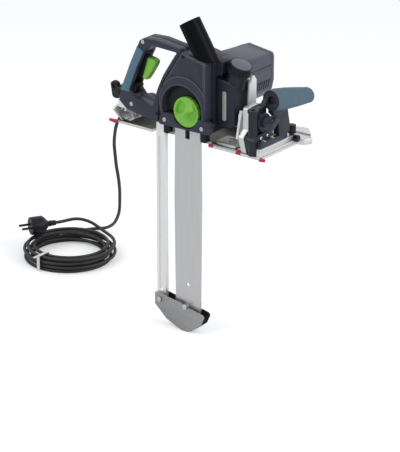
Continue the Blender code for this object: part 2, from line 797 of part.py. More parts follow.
def tube(name, outer, inner, at, along, low, high, steps=ROUND_STEPS):
    """A plain ring between two distances along its line."""
    profile = [(low, inner), (low, outer), (high, outer), (high, inner)]
    return turned(name, profile, at, along, steps, closed=True)


def boolean(body, operation, tools):
    """Apply one Boolean after another to a body and remove the tools."""
    for tool in tools:
        step = body.modifiers.new("step", "BOOLEAN")
        step.operation = operation
        step.object = tool
        step.solver = "EXACT"
        graph = bpy.context.evaluated_depsgraph_get()
        result = bmesh.new()
        result.from_object(body, graph)
        bmesh.ops.remove_doubles(result, verts=result.verts, dist=MERGE)
        bmesh.ops.dissolve_degenerate(result, dist=MERGE, edges=result.edges)
        body.modifiers.clear()
        result.to_mesh(body.data)
        result.free()
        data = tool.data
        bpy.data.objects.remove(tool)
        bpy.data.meshes.remove(data)
    return body


def fused(body, *tools):
    """The body with the tools joined to it."""
    return boolean(body, "UNION", tools)


def cut(body, *tools):
    """The body with the tools taken out of it."""
    return boolean(body, "DIFFERENCE", tools)


def kept(body, *tools):
    """Only what the body shares with the tools."""
    return boolean(body, "INTERSECT", tools)


def finish(obj, kind, parent, pivot=(0, 0, 0)):
    """Name the material, shade the piece, and put its origin at its pivot under its parent."""
    obj.data.transform(Matrix.Translation(-Vector(pivot)))
    obj.location = pivot
    obj.parent = parent
    obj.data.shade_smooth()
    obj.data.set_sharp_from_angle(angle=SHARP)
    paint(obj, kind)
    return obj


def screw_seat(target, at, along, head_r=SCREW_HEAD_R):
    """A shallow round seat for a screw head, sunk into the target's surface at a point."""
    return cut(target, drum("seat", head_r + GAP, at, along, -SINK, OVERRUN, SCREW_STEPS))


def wing_knob(name, at, along, turn):
    """A clamp knob: a round hub on the stud and a flat wing with a hole, turned about the stud."""
    hub = drum(name, WING_HUB_R, (0, 0, 0), AXIS_Z, 0, WING_HUB_LONG, SMALL_STEPS)
    low = WING_HUB_LONG - OVERRUN
    high = WING_HUB_LONG + WING_LONG
    wing_outline = rounded(box_outline(-WING_SPAN / 2, WING_SPAN / 2, low, high), WING_ROUND)
    wing = prism("wing", wing_outline, "Y", -WING_THICK / 2, WING_THICK / 2)
    fused(hub, wing)
    hole = circle(WING_SPAN / 4, (low + high) / 2, WING_HOLE_R, SMALL_STEPS)
    cut(hub, prism("hole", hole, "Y", -WING_THICK, WING_THICK))
    cut(hub, drum("bore", STUD_R + GAP, (0, 0, 0), AXIS_Z, -OVERRUN, WING_HUB_LONG, SMALL_STEPS))
    aim = Vector(along).to_track_quat("Z", "Y").to_matrix().to_4x4()
    hub.data.transform(Matrix.Translation(at) @ aim @ Matrix.Rotation(turn, 4, "Z"))
    return hub


def fluted_knob(name, x, y, low):
    """A small clamp knob with ridges down its side and a thin neck below."""
    outline = toothed(x, y, SMALL_KNOB_R, SMALL_KNOB_R - SMALL_KNOB_GROOVE, SMALL_KNOB_RIDGES)
    knob = prism(name, outline, "Z", low + SMALL_KNOB_NECK_HIGH, low + SMALL_KNOB_HIGH)
    neck = drum("neck", SMALL_KNOB_NECK_R, (x, y, 0), AXIS_Z, low,
                low + SMALL_KNOB_NECK_HIGH + OVERRUN, SMALL_STEPS)
    return fused(knob, neck)


def segment_window(near_x, name):
    """The tool for the slot in the base plate that a tilt segment dips into."""
    outline = box_outline(near_x - WINDOW_SIDE, near_x + SEGMENT_THICK + WINDOW_SIDE,
                          WINDOW_NEAR, WINDOW_FAR)
    return prism(name, outline, "Z", -OVERRUN, BASE_THICK + OVERRUN)


def build_base_plate():
    """The cast base: a flat sole with a notch for the bar, rims, ribs and a raised pad."""
    outline = [
        (BASE_BACK, BASE_NEAR), (NOTCH_BACK, BASE_NEAR), (NOTCH_BACK, NOTCH_FAR),
        (NOTCH_FRONT, NOTCH_FAR), (NOTCH_FRONT, EDGE_FAR), (EDGE_FRONT, EDGE_FAR),
        (EDGE_FRONT, BASE_NEAR), (BASE_FRONT, BASE_NEAR), (BASE_FRONT, BASE_FAR),
        (BASE_BACK, BASE_FAR)]
    plate = prism("base_plate", outline, "Z", 0, BASE_THICK)
    inside = BASE_THICK / 2
    far_rim = box_outline(BASE_BACK, FRONT_BRACKET_X - GAP, BASE_FAR - RIM_WIDE, BASE_FAR)
    back_rim = box_outline(BASE_BACK, BASE_BACK + RIM_WIDE, CROSS_RIB_NEAR, BASE_FAR)
    cross_rib = box_outline(CROSS_RIB_X, CROSS_RIB_X + RIM_WIDE, CROSS_RIB_NEAR, BASE_FAR)
    pad = rounded(box_outline(PAD_BACK, PAD_FRONT, PAD_NEAR, PAD_FAR), PAD_ROUND)
    boss = circle(REAR_KNOB_X, REAR_KNOB_Y, KNOB_BOSS_R)
    fused(plate,
          prism("rim", far_rim, "Z", inside, RIM_HIGH),
          prism("rim", back_rim, "Z", inside, RIM_HIGH - GAP),
          prism("rib", cross_rib, "Z", inside, RIM_HIGH - SINK),
          prism("pad", pad, "Z", inside, PAD_HIGH),
          prism("boss", boss, "Z", 0, RIM_HIGH))
    cut(plate, segment_window(FRONT_SEGMENT_X, "window"), segment_window(REAR_SEGMENT_X, "window"))
    return plate


def build_front_bracket(plate_top):
    """The cast plate across the front of the base that carries the tilt stud and its guide pin."""
    low = (FRONT_BRACKET_NEAR, plate_top)
    size = (FRONT_BRACKET_DEEP, FRONT_BRACKET_HIGH)
    x_low = FRONT_BRACKET_X
    x_high = FRONT_BRACKET_X + FRONT_BRACKET_THICK
    bracket = prism("front_bracket", rounded(spread(FRONT_BRACKET_SHARES, low, size), BRACKET_ROUND),
                    "X", x_low, x_high)
    window = rounded(spread(BRACKET_WINDOW_SHARES, low, size), BRACKET_ROUND)
    cut(bracket, prism("window", window, "X", x_low - OVERRUN, x_high + OVERRUN))
    cut(bracket, drum("bore", STUD_R + GAP, (0, FRONT_STUD_Y, FRONT_STUD_Z), AXIS_X,
                      x_low - OVERRUN, x_high + OVERRUN, SMALL_STEPS))
    pin_y, pin_z = pin_place(FRONT_STUD_Y, FRONT_STUD_Z, FRONT_PIN_ARM)
    fused(bracket, drum("pin", GUIDE_PIN_R, (0, pin_y, pin_z), AXIS_X, FRONT_SEGMENT_X + GAP,
                        x_low + OVERRUN, SMALL_STEPS))
    return bracket


def pin_place(stud_y, stud_z, arm):
    """Where a guide pin stands: towards the stud from the tilt line, at its own distance."""
    angle = math.atan2(stud_z, stud_y)
    return arm * math.cos(angle), arm * math.sin(angle)


def build_front_clamp_housing(plate_top):
    """The moulded housing in front of the bracket, with a hub round the stud and a hollow column."""
    low = (FRONT_BRACKET_NEAR, plate_top)
    size = (FRONT_BRACKET_DEEP, FRONT_BRACKET_HIGH)
    back = FRONT_BRACKET_X + FRONT_BRACKET_THICK + GAP
    skirt = rounded(spread(CLAMP_SKIRT_SHARES, low, size), BRACKET_ROUND)
    housing = prism("front_clamp_housing", skirt, "X", back, back + CLAMP_BODY_LONG)
    web = rounded(spread(CLAMP_WEB_SHARES, low, size), BRACKET_ROUND)
    fused(housing, prism("web", web, "X", back, back + CLAMP_WEB_LONG))
    fused(housing, drum("hub", CLAMP_HUB_R, (back, FRONT_STUD_Y, FRONT_STUD_Z), AXIS_X,
                        0, CLAMP_HUB_LONG))
    column_at = (COLUMN_X, COLUMN_Y, 0)
    fused(housing, drum("column", COLUMN_R, column_at, AXIS_Z, plate_top, COLUMN_HIGH, SMALL_STEPS))
    fused(housing, drum("ring", COLUMN_RING_R, column_at, AXIS_Z, COLUMN_HIGH - COLUMN_RING_HIGH,
                        COLUMN_HIGH + SINK, SMALL_STEPS))
    cut(housing, drum("well", COLUMN_WELL_R, column_at, AXIS_Z, COLUMN_HIGH - COLUMN_WELL_DEEP,
                      COLUMN_HIGH + COLUMN_RING_HIGH, SMALL_STEPS))
    cut(housing, drum("bore", STUD_R + GAP, (back, FRONT_STUD_Y, FRONT_STUD_Z), AXIS_X,
                      -OVERRUN, CLAMP_HUB_LONG + OVERRUN, SMALL_STEPS))
    return housing


def build_rear_bracket(plate_top):
    """The cast plate across the back of the base, with the rear guide pin."""
    low = (REAR_BRACKET_NEAR, plate_top)
    size = (REAR_BRACKET_DEEP, REAR_BRACKET_HIGH)
    x_low = REAR_BRACKET_X
    x_high = REAR_BRACKET_X + REAR_BRACKET_THICK
    bracket = prism("rear_bracket", rounded(spread(REAR_BRACKET_SHARES, low, size), BRACKET_ROUND),
                    "X", x_low, x_high)
    cut(bracket, drum("bore", STUD_R + GAP, (0, REAR_STUD_Y, REAR_STUD_Z), AXIS_X,
                      x_low - OVERRUN, x_high + OVERRUN, SMALL_STEPS))
    pin_y, pin_z = pin_place(REAR_STUD_Y, REAR_STUD_Z, REAR_PIN_ARM)
    fused(bracket, drum("pin", GUIDE_PIN_R, (0, pin_y, pin_z), AXIS_X, x_high - OVERRUN,
                        REAR_SEGMENT_X + SEGMENT_THICK - GAP, SMALL_STEPS))
    return bracket


def build_rear_clamp_housing(plate_top):
    """The small moulded housing behind the rear bracket."""
    low = (REAR_BRACKET_NEAR, plate_top)
    size = (REAR_BRACKET_DEEP, REAR_BRACKET_HIGH)
    front = REAR_BRACKET_X - GAP
    outline = rounded(spread(REAR_BODY_SHARES, low, size), BRACKET_ROUND)
    housing = prism("rear_clamp_housing", outline, "X", front - REAR_BODY_LONG + SINK, front)
    hub_at = (front, REAR_STUD_Y, REAR_STUD_Z)
    fused(housing, drum("hub", REAR_HUB_R, hub_at, AXIS_X, -REAR_BODY_LONG, 0))
    cut(housing, drum("bore", STUD_R + GAP, hub_at, AXIS_X, -REAR_BODY_LONG - OVERRUN, OVERRUN,
                      SMALL_STEPS))
    return housing


def build_stud(name, y, z, head_x, knob_x):
    """A headed stud from behind its segment, through bracket and housing, into the knob."""
    way = 1.0 if knob_x > head_x else -1.0
    long = abs(knob_x - head_x) + WING_HUB_LONG - GAP
    profile = [(0, 0), (0, STUD_HEAD_R), (STUD_HEAD_LONG, STUD_HEAD_R), (STUD_HEAD_LONG, STUD_R),
               (long, STUD_R), (long, 0)]
    return turned(name, profile, (head_x, y, z), AXIS_X * way, SMALL_STEPS)


def build_rail_and_beam(plate_top):
    """The extruded guide-rail holder across the front, and the moulded beam on it."""
    front = RAIL_X + RAIL_THICK
    outline = [
        (RAIL_X, plate_top), (front, plate_top), (front, RAIL_GROOVE_LOW),
        (front - RAIL_GROOVE_DEEP, RAIL_GROOVE_LOW + RAIL_GROOVE_DEEP / 2),
        (front - RAIL_GROOVE_DEEP, RAIL_GROOVE_HIGH - RAIL_GROOVE_DEEP / 2),
        (front, RAIL_GROOVE_HIGH), (front, RAIL_TOP), (RAIL_X, RAIL_TOP)]
    rail = prism("front_rail", outline, "Y", RAIL_NEAR, RAIL_FAR)
    low = RAIL_TOP + GAP
    section = rounded(box_outline(RAIL_X, front, low, low + BEAM_HIGH), BEAM_ROUND)
    beam = prism("front_beam", section, "Y", BEAM_NEAR, BEAM_FAR)
    return rail, beam


def grip_profile(extra):
    """The auxiliary grip's outline along its own line, grown by a clearance."""
    long = (Vector(GRIP_FAR_AT) - Vector(GRIP_NEAR_AT)).length
    profile = [(-extra, 0)]
    for share, radius in zip(GRIP_STATION_SHARES, GRIP_RADII):
        distance = share * long
        if share == 0.0:
            distance = -extra
        if share == 1.0:
            distance = long + extra
        profile.append((distance, radius + extra if radius > 0 else 0))
    return profile


def build_front_handle():
    """The frame of the auxiliary handle, and the soft grip that is a sleeve on its core."""
    along = (Vector(GRIP_FAR_AT) - Vector(GRIP_NEAR_AT)).normalized()
    long = (Vector(GRIP_FAR_AT) - Vector(GRIP_NEAR_AT)).length
    bore_deep = long * GRIP_BORE_DEEP_SHARE
    post_low = RAIL_TOP + GAP + BEAM_HIGH + GAP
    post = rounded(spread(POST_SHARES, (POST_NEAR, post_low), (POST_DEEP, POST_TOP - post_low)),
                   POST_ROUND)
    frame = prism("front_handle_frame", post, "X", POST_BACK, POST_FRONT)
    fin = rounded(spread(FIN_SHARES, (FIN_NEAR, FIN_LOW), (FIN_DEEP, FIN_HIGH)), POST_ROUND)
    fused(frame, prism("fin", fin, "X", FIN_BACK, FIN_FRONT))
    room = turned("room", grip_profile(GAP), GRIP_NEAR_AT, along)
    head = drum("head", GRIP_HEAD_R, GRIP_NEAR_AT, along, -GRIP_HEAD_LONG, SINK)
    cut(fused(frame, head), room)
    core = drum("core", GRIP_CORE_R, GRIP_NEAR_AT, along, -GRIP_HEAD_LONG / 2, bore_deep - GAP,
                SMALL_STEPS)
    fused(frame, core)
    cut(frame, drum("well", GRIP_WELL_R, GRIP_NEAR_AT, along, -GRIP_HEAD_LONG - OVERRUN,
                    GRIP_WELL_DEEP - GRIP_HEAD_LONG, SMALL_STEPS))
    grip = turned("front_grip", grip_profile(0), GRIP_NEAR_AT, along)
    cut(grip, drum("bore", GRIP_CORE_R + GAP, GRIP_NEAR_AT, along, -OVERRUN, bore_deep, SMALL_STEPS))
    return frame, grip


def build_base(parent):
    """Every piece that stays still when the machine tilts, from the sole up."""
    plate_top = BASE_THICK + GAP
    plate = build_base_plate()
    bracket = build_front_bracket(plate_top)
    housing = build_front_clamp_housing(plate_top)
    rear_bracket = build_rear_bracket(plate_top)
    rear_housing = build_rear_clamp_housing(plate_top)
    front_knob_x = FRONT_BRACKET_X + FRONT_BRACKET_THICK + GAP + CLAMP_HUB_LONG + GAP
    rear_knob_x = REAR_BRACKET_X - GAP - REAR_BODY_LONG - GAP
    front_head_x = FRONT_SEGMENT_X - GAP - STUD_HEAD_LONG
    rear_head_x = REAR_SEGMENT_X + SEGMENT_THICK + GAP + STUD_HEAD_LONG
    finish(build_stud("front_clamp_stud", FRONT_STUD_Y, FRONT_STUD_Z, front_head_x, front_knob_x),
           "steel", parent)
    finish(build_stud("rear_clamp_stud", REAR_STUD_Y, REAR_STUD_Z, rear_head_x, rear_knob_x),
           "steel", parent)
    front_pivot = (front_knob_x, FRONT_STUD_Y, FRONT_STUD_Z)
    rear_pivot = (rear_knob_x, REAR_STUD_Y, REAR_STUD_Z)
    finish(wing_knob("front_clamp_knob", front_pivot, AXIS_X, FRONT_WING_TURN), "black", parent,
           front_pivot)
    finish(wing_knob("rear_clamp_knob", rear_pivot, -AXIS_X, REAR_WING_TURN), "black", parent,
           rear_pivot)
    strip = box_outline(NOTCH_FRONT + GAP, EDGE_FRONT - GAP, BASE_NEAR, EDGE_FAR - GAP)
    finish(prism("splinter_guard", strip, "Z", GUARD_STRIP_LOW, GUARD_STRIP_HIGH), "red", parent)
    front = BASE_FRONT + GAP
    back = BASE_BACK - GAP
    tip = POINTER_WIDE / 8
    for name, root, reach in (("cut_pointer_front", front, POINTER_LONG),
                              ("cut_pointer_rear", back, -POINTER_REAR_LONG)):
        wedge = [(root, -POINTER_WIDE / 2), (root + reach, -tip), (root + reach, tip),
                 (root, POINTER_WIDE / 2)]
        finish(prism(name, wedge, "Z", POINTER_LOW, BASE_THICK), "red", parent)
    rail, beam = build_rail_and_beam(plate_top)
    frame, grip = build_front_handle()
    finish(frame, "black", parent)
    finish(grip, "teal", parent)
    rail_front = RAIL_X + RAIL_THICK
    rail_top = RAIL_TOP + GAP
    front_knob_at = (RAIL_X + RAIL_THICK / 2, FRONT_KNOB_Y, rail_top)
    rear_knob_at = (REAR_KNOB_X, REAR_KNOB_Y, RIM_HIGH + GAP)
    finish(fluted_knob("guide_clamp_knob_front", *front_knob_at), "black", parent, front_knob_at)
    finish(fluted_knob("guide_clamp_knob_rear", *rear_knob_at), "black", parent, rear_knob_at)
    hex_at = (rail_front + GAP, RAIL_FAR - HEX_KNOB_R, HEX_KNOB_Z)
    hexagon = turned("rail_clamp_knob", [(0, 0), (0, HEX_KNOB_R), (HEX_KNOB_LONG, HEX_KNOB_R),
                                         (HEX_KNOB_LONG, 0)], hex_at, AXIS_X, HEX_SIDES)
    finish(hexagon, "black", parent, hex_at)
    adapter_low = (ADAPTER_BACK, BASE_FAR + GAP)
    outline = rounded(spread(ADAPTER_SHARES, adapter_low, (ADAPTER_WIDE, ADAPTER_LONG)),
                      BRACKET_ROUND)
    adapter = prism("rail_adapter", outline, "Z", GUARD_STRIP_LOW, ADAPTER_THICK)
    groove = box_outline(ADAPTER_BACK - ADAPTER_WIDE, ADAPTER_BACK + 2 * ADAPTER_WIDE,
                         -ADAPTER_GROOVE_WIDE / 2, ADAPTER_GROOVE_WIDE / 2)
    slot = prism("slot", groove, "Z", ADAPTER_THICK - ADAPTER_GROOVE_DEEP, ADAPTER_THICK + OVERRUN)
    slot.data.transform(Matrix.Translation((0, BASE_FAR + ADAPTER_LONG / 2, 0)))
    finish(cut(adapter, slot), "cast", parent)
    pad_middle = ((PAD_BACK + PAD_FRONT) / 2, (PAD_NEAR + PAD_FAR) / 2, PAD_HIGH)
    screw_seat(plate, pad_middle, AXIS_Z, BASE_SCREW_HEAD_R)
    housing_face = FRONT_BRACKET_X + FRONT_BRACKET_THICK + GAP + CLAMP_BODY_LONG
    for y_share, z_share in CLAMP_SCREW_SHARES:
        spot = (housing_face, FRONT_BRACKET_NEAR + y_share * FRONT_BRACKET_DEEP,
                plate_top + z_share * FRONT_BRACKET_HIGH)
        screw_seat(housing, spot, AXIS_X)
    for share in BEAM_SCREW_SHARES:
        spot = (RAIL_X + RAIL_THICK / 2, BEAM_NEAR + share * (BEAM_FAR - BEAM_NEAR),
                RAIL_TOP + GAP + BEAM_HIGH)
        screw_seat(beam, spot, AXIS_Z)
    for piece, kind in ((plate, "plate"), (bracket, "cast"), (housing, "black"),
                        (rear_bracket, "cast"), (rear_housing, "black"), (rail, "cast"),
                        (beam, "black")):
        finish(piece, kind, parent)


def body_outline():
    """The outline that gear housing and chain cover share on the handle's side, and the housing's front."""
    shares = BODY_JOIN_SHARES + BODY_FRONT_SHARES
    return spread(shares, (BODY_BACK, BODY_LOW), (BODY_WIDE, BODY_HIGH))


def cover_outline():
    """The chain cover's outline: the same handle side, with its own front and foot."""
    shares = BODY_JOIN_SHARES[1:] + COVER_FRONT_SHARES
    return spread(shares, (BODY_BACK, BODY_LOW), (BODY_WIDE, BODY_HIGH))


def handle_outline():
    """The D-handle's outer outline."""
    return spread(HANDLE_SHARES, (HANDLE_BACK, HANDLE_LOW), (HANDLE_WIDE, HANDLE_HIGH))


def hole_outline():
    """The D-handle's finger hole."""
    return spread(HOLE_SHARES, (HANDLE_BACK, HANDLE_LOW), (HANDLE_WIDE, HANDLE_HIGH))


def handle_prism(name, shares, half, radius=HANDLE_ROUND):
    """A solid through the handle's middle from an outline in shares of the handle."""
    outline = spread(shares, (HANDLE_BACK, HANDLE_LOW), (HANDLE_WIDE, HANDLE_HIGH))
    return prism(name, rounded(outline, radius), "Y", -half, half)


def moved(obj, at, along):
    """An object drawn about the Z axis, carried to a point with its axis turned."""
    turn = Vector(along).to_track_quat("Z", "Y").to_matrix().to_4x4()
    obj.data.transform(Matrix.Translation(at) @ turn)
    return obj


def softened(obj, y, width):
    """The object with the edges of its face at one Y distance rounded over."""
    mesh = bmesh.new()
    mesh.from_mesh(obj.data)
    rim = [edge for edge in mesh.edges
           if all(abs(vert.co.y - y) < MERGE for vert in edge.verts)]
    bmesh.ops.bevel(mesh, geom=rim, offset=width, offset_type="OFFSET", segments=2, profile=0.5,
                    affect="EDGES", clamp_overlap=True)
    mesh.to_mesh(obj.data)
    mesh.free()
    return obj


def build_gear_housing():
    """The cast gear housing: a shell open towards the motor, with seats for the front bearings."""
    outline = body_outline()
    housing = prism("gear_housing", rounded(outline, BODY_ROUND), "Y", HOUSING_NEAR, HOUSING_FAR)
    floor = HOUSING_NEAR + HOUSING_FLOOR
    shoulder = spread(SHOULDER_SHARES,
                      (BODY_BACK + BODY_FRONT_SHARES[0][0] * BODY_WIDE, SHOULDER_LOW),
                      (SHOULDER_WIDE, SHOULDER_TOP - SHOULDER_LOW))
    fused(housing, prism("shoulder", rounded(shoulder, BODY_ROUND), "Y", SHOULDER_NEAR,
                         HOUSING_FAR - SINK))
    cut(housing, prism("cavity", rounded(grown(outline, -HOUSING_WALL), BODY_ROUND), "Y", floor,
                       HOUSING_FAR + OVERRUN))
    spindle = (SPINDLE_X, 0, SPINDLE_Z)
    stud = (STUD_X, 0, STUD_Z)
    bearing_end = FRONT_BEARING_Y + BEARING_LONG
    stud_seat = CLAMP_STUD_FAR - CLAMP_STUD_HEAD_LONG - GAP
    fused(housing, drum("boss", BEARING_R + BEARING_BOSS_WALL, spindle, AXIS_Y, floor - OVERRUN,
                        bearing_end))
    fused(housing, drum("boss", CLAMP_STUD_HEAD_R + GAP, stud, AXIS_Y, floor - OVERRUN, stud_seat))
    cut(housing, drum("seat", BEARING_R + GAP, spindle, AXIS_Y, FRONT_BEARING_Y - GAP,
                      bearing_end + OVERRUN))
    cut(housing, drum("bore", SPINDLE_R + BORE_FIT, spindle, AXIS_Y, HOUSING_NEAR - OVERRUN,
                      floor, SMALL_STEPS))
    cut(housing, drum("bore", CLAMP_STUD_R + GAP, stud, AXIS_Y, HOUSING_NEAR - OVERRUN,
                      stud_seat + OVERRUN, SMALL_STEPS))
    lug = box_outline(ARM_LUG_BACK, ARM_LUG_FRONT, ARM_LUG_LOW, ARM_LUG_HIGH)
    near = ARM_HALF + GAP
    fused(housing, prism("lug", rounded(lug, BODY_ROUND), "Y", near, near + ARM_LUG_THICK))
    return housing


def top_plane():
    """Two directions on the housing's sloping top: along it and straight up from it."""
    first = BODY_JOIN_SHARES[-1]
    last = BODY_FRONT_SHARES[0]
    along = Vector(((last[0] - first[0]) * BODY_WIDE, 0, (last[1] - first[1]) * BODY_HIGH))
    along.normalize()
    return along, Vector((-along.z, 0, along.x))


def on_top(x, y):
    """The point of the housing's sloping top above a place in plan."""
    first = BODY_JOIN_SHARES[-1]
    along, _ = top_plane()
    start = Vector((BODY_BACK + first[0] * BODY_WIDE, y, BODY_LOW + first[1] * BODY_HIGH))
    return start + along * ((x - start.x) / along.x)


def build_spout():
    """The dust spout: a round flange on the housing's top and a slanting tube with its bore."""
    along, up = top_plane()
    swivel = on_top(SWIVEL_X, SPOUT_Y)
    foot = on_top(SPOUT_AXIS_X, SPOUT_Y)
    lean = Matrix.Rotation(-SPOUT_LEAN, 3, "Y") @ up
    spout = drum("dust_spout", SPOUT_R, foot, lean, -SPOUT_R, SPOUT_LONG, BIG_STEPS)
    cut(spout, drum("below", SPOUT_LONG, foot, up, -SPOUT_LONG, SPOUT_FLANGE_HIGH / 2))
    toe = drum("toe", SPOUT_LONG, swivel, along, SPOUT_FLANGE_R, 2 * SPOUT_LONG)
    cut(spout, toe)
    fused(spout, drum("flange", SPOUT_FLANGE_R, swivel, up, GAP, SPOUT_FLANGE_HIGH, BIG_STEPS))
    cut(spout, drum("bore", SPOUT_R - SPOUT_WALL, foot, lean, SPOUT_BORE_FROM,
                    SPOUT_LONG + OVERRUN, BIG_STEPS))
    cut(spout, drum("duct", DUCT_R, swivel, up, -OVERRUN, SPOUT_BORE_FROM + SPOUT_WALL))
    return spout, swivel


def build_chain_cover():
    """The moulded chain cover: a shell with a raised ring and a dish that sinks round the knob."""
    outline = cover_outline()
    cover = prism("chain_cover", rounded(outline, BODY_ROUND), "Y", COVER_NEAR, COVER_FAR)
    softened(cover, COVER_NEAR, RING_RAISE)
    inner = grown(outline, -COVER_WALL)
    cut(cover, prism("cavity", inner, "Y", COVER_NEAR + COVER_WALL, COVER_FAR + OVERRUN))
    dish = (DISH_X, 0, DISH_Z)
    shell = turned("dish", [
        (COVER_NEAR + SINK, 0), (COVER_NEAR + SINK, DISH_RIM_R + COVER_WALL),
        (DISH_FLOOR_FAR, DISH_FLOOR_R + COVER_WALL), (DISH_FLOOR_FAR, 0)], dish, AXIS_Y, BIG_STEPS)
    inside = grown(outline, -SINK)
    kept(shell, prism("outline", inside, "Y", COVER_NEAR - COVER_WALL, COVER_FAR))
    fused(cover, shell)
    ring = drum("ring", RING_R, (RING_X, 0, RING_Z), AXIS_Y, COVER_NEAR - RING_RAISE,
                COVER_NEAR + COVER_WALL / 2, BIG_STEPS)
    kept(ring, prism("outline", grown(outline, -RING_RAISE), "Y", COVER_NEAR - COVER_WALL,
                     COVER_NEAR + COVER_WALL))
    fused(cover, ring)
    stud = (STUD_X, 0, STUD_Z)
    cut(cover, turned("hollow", [
        (COVER_NEAR - COVER_WALL, 0), (COVER_NEAR - COVER_WALL, DISH_RIM_R + RING_RAISE),
        (DISH_FLOOR_NEAR, DISH_FLOOR_R), (DISH_FLOOR_NEAR, 0)], dish, AXIS_Y, BIG_STEPS))
    fused(cover, drum("floor", FLOOR_DISC_R, stud, AXIS_Y, DISH_FLOOR_NEAR + SINK / 2,
                      DISH_FLOOR_FAR))
    way = box_outline(-BAR_MID_HALF - 2 * COVER_WALL, BAR_MID_HALF + 2 * COVER_WALL,
                      STUD_Z - 2 * FLOOR_DISC_R, STUD_Z)
    cut(cover, prism("way", way, "Y", DISH_FLOOR_FAR - SINK / 2, COVER_FAR + OVERRUN))
    cut(cover, drum("bore", CLAMP_STUD_R + GAP, stud, AXIS_Y, DISH_FLOOR_NEAR - OVERRUN,
                    DISH_FLOOR_FAR + OVERRUN, SMALL_STEPS))
    return cover


def build_lower_cover():
    """The lower cover: a block below the chain cover, with two guides that reach back past the bar."""
    outline = spread(LOWER_SHARES, (LOWER_BACK, LOWER_LOW), (LOWER_WIDE, LOWER_HIGH))
    cover = prism("lower_cover", rounded(outline, BODY_ROUND), "Y", LOWER_NEAR, LOWER_FAR)
    room = prism("above", grown(cover_outline(), GAP), "Y", 2 * LOWER_NEAR, -LOWER_NEAR)
    stud = (STUD_X, 0, STUD_Z)
    cut(cover, room, drum("knob", KNOB_R + KNOB_ROOM, stud, AXIS_Y, 2 * LOWER_NEAR, -LOWER_NEAR,
                          BIG_STEPS))
    for x in (GUIDE_BLOCK_BACK, GUIDE_BLOCK_FRONT):
        guide = box_outline(x, x + GUIDE_BLOCK_WIDE, GUIDE_BLOCK_LOW, GUIDE_BLOCK_HIGH)
        fused(cover, prism("guide", rounded(guide, BODY_ROUND), "Y", (LOWER_NEAR + LOWER_FAR) / 2,
                           HOUSING_NEAR - GAP))
    return cover


def build_tension_knob():
    """The round clamp knob with a notched rim and a raised wing across its face."""
    stud = (STUD_X, 0, STUD_Z)
    outline = toothed(0, 0, KNOB_R, KNOB_R - KNOB_NOTCH_DEEP, KNOB_NOTCHES)
    knob = prism("tension_knob", outline, "Y", KNOB_NEAR + KNOB_RIM_CUT, KNOB_FAR)
    face = turned("face", [
        (KNOB_NEAR, 0), (KNOB_NEAR, KNOB_R - 2 * KNOB_RIM_CUT),
        (KNOB_NEAR + KNOB_RIM_CUT + SINK, KNOB_R - KNOB_NOTCH_DEEP - SINK),
        (KNOB_NEAR + KNOB_RIM_CUT + SINK, 0)], (0, 0, 0), AXIS_Y, BIG_STEPS)
    fused(knob, face)
    half = KNOB_WING_WIDE / 2
    reach = KNOB_R - KNOB_RIM_CUT
    top = KNOB_NEAR - KNOB_WING_RAISE
    low = KNOB_NEAR + KNOB_RIM_CUT
    wing = loft("wing", [
        [(-reach, low, -half), (reach, low, -half), (reach, low, half), (-reach, low, half)],
        [(-0.8 * reach, top, -0.45 * half), (0.8 * reach, top, -0.45 * half),
         (0.8 * reach, top, 0.45 * half), (-0.8 * reach, top, 0.45 * half)]])
    fused(knob, wing)
    knob.data.transform(Matrix.Rotation(-KNOB_WING_TURN, 4, "Y"))
    knob.data.transform(Matrix.Translation(stud))
    cut(knob, drum("bore", CLAMP_STUD_R + GAP, stud, AXIS_Y, CLAMP_STUD_NEAR - GAP,
                   KNOB_FAR + OVERRUN, SMALL_STEPS))
    return knob


def bar_outline():
    """The guide bar's outline: a narrow tail, straight sides that swell a little, a round nose."""
    right = [(BAR_TAIL_HALF, BAR_TAIL_Z), (BAR_TOP_HALF, BAR_TOP_Z), (BAR_MID_HALF, BAR_MID_Z),
             (BAR_NOSE_R, BAR_END_Z)]
    nose = []
    for step in range(1, ROUND_STEPS):
        angle = -math.pi * step / ROUND_STEPS
        nose.append((BAR_NOSE_R * math.cos(angle), BAR_NOSE_Z + BAR_NOSE_R * math.sin(angle)))
    left = [(-x, z) for x, z in reversed(right)]
    return right + nose + left


def build_bar():
    """The guide bar with its slot, the window round the stud and the pocket for the nose sprocket."""
    bar = prism("guide_bar", bar_outline(), "Y", -BAR_HALF, BAR_HALF)
    stud = (STUD_X, 0, STUD_Z)
    nose = (0, 0, BAR_NOSE_Z)
    cut(bar, drum("window", BAR_WINDOW_R, stud, AXIS_Y, -2 * BAR_HALF, 2 * BAR_HALF))
    slot = rounded(box_outline(-BAR_SLOT_HALF, BAR_SLOT_HALF, BAR_SLOT_LOW, STUD_Z), BAR_SLOT_HALF)
    cut(bar, prism("slot", slot, "Y", -2 * BAR_HALF, 2 * BAR_HALF))
    cut(bar, tube("pocket", NOSE_POCKET_R, NOSE_BOSS_R, nose, AXIS_Y, -BAR_GROOVE_HALF,
                  BAR_GROOVE_HALF, BIG_STEPS))
    cut(bar, drum("bore", NOSE_BORE_R, nose, AXIS_Y, -2 * BAR_HALF, 2 * BAR_HALF, SMALL_STEPS))
    teeth = toothed(0, BAR_NOSE_Z, NOSE_SPROCKET_R, NOSE_ROOT_R, NOSE_TEETH)
    sprocket = prism("nose_sprocket", teeth, "Y", -NOSE_THICK / 2, NOSE_THICK / 2)
    cut(sprocket, drum("bore", NOSE_BOSS_R + GAP, nose, AXIS_Y, -NOSE_THICK, NOSE_THICK,
                       SMALL_STEPS))
    return bar, sprocket


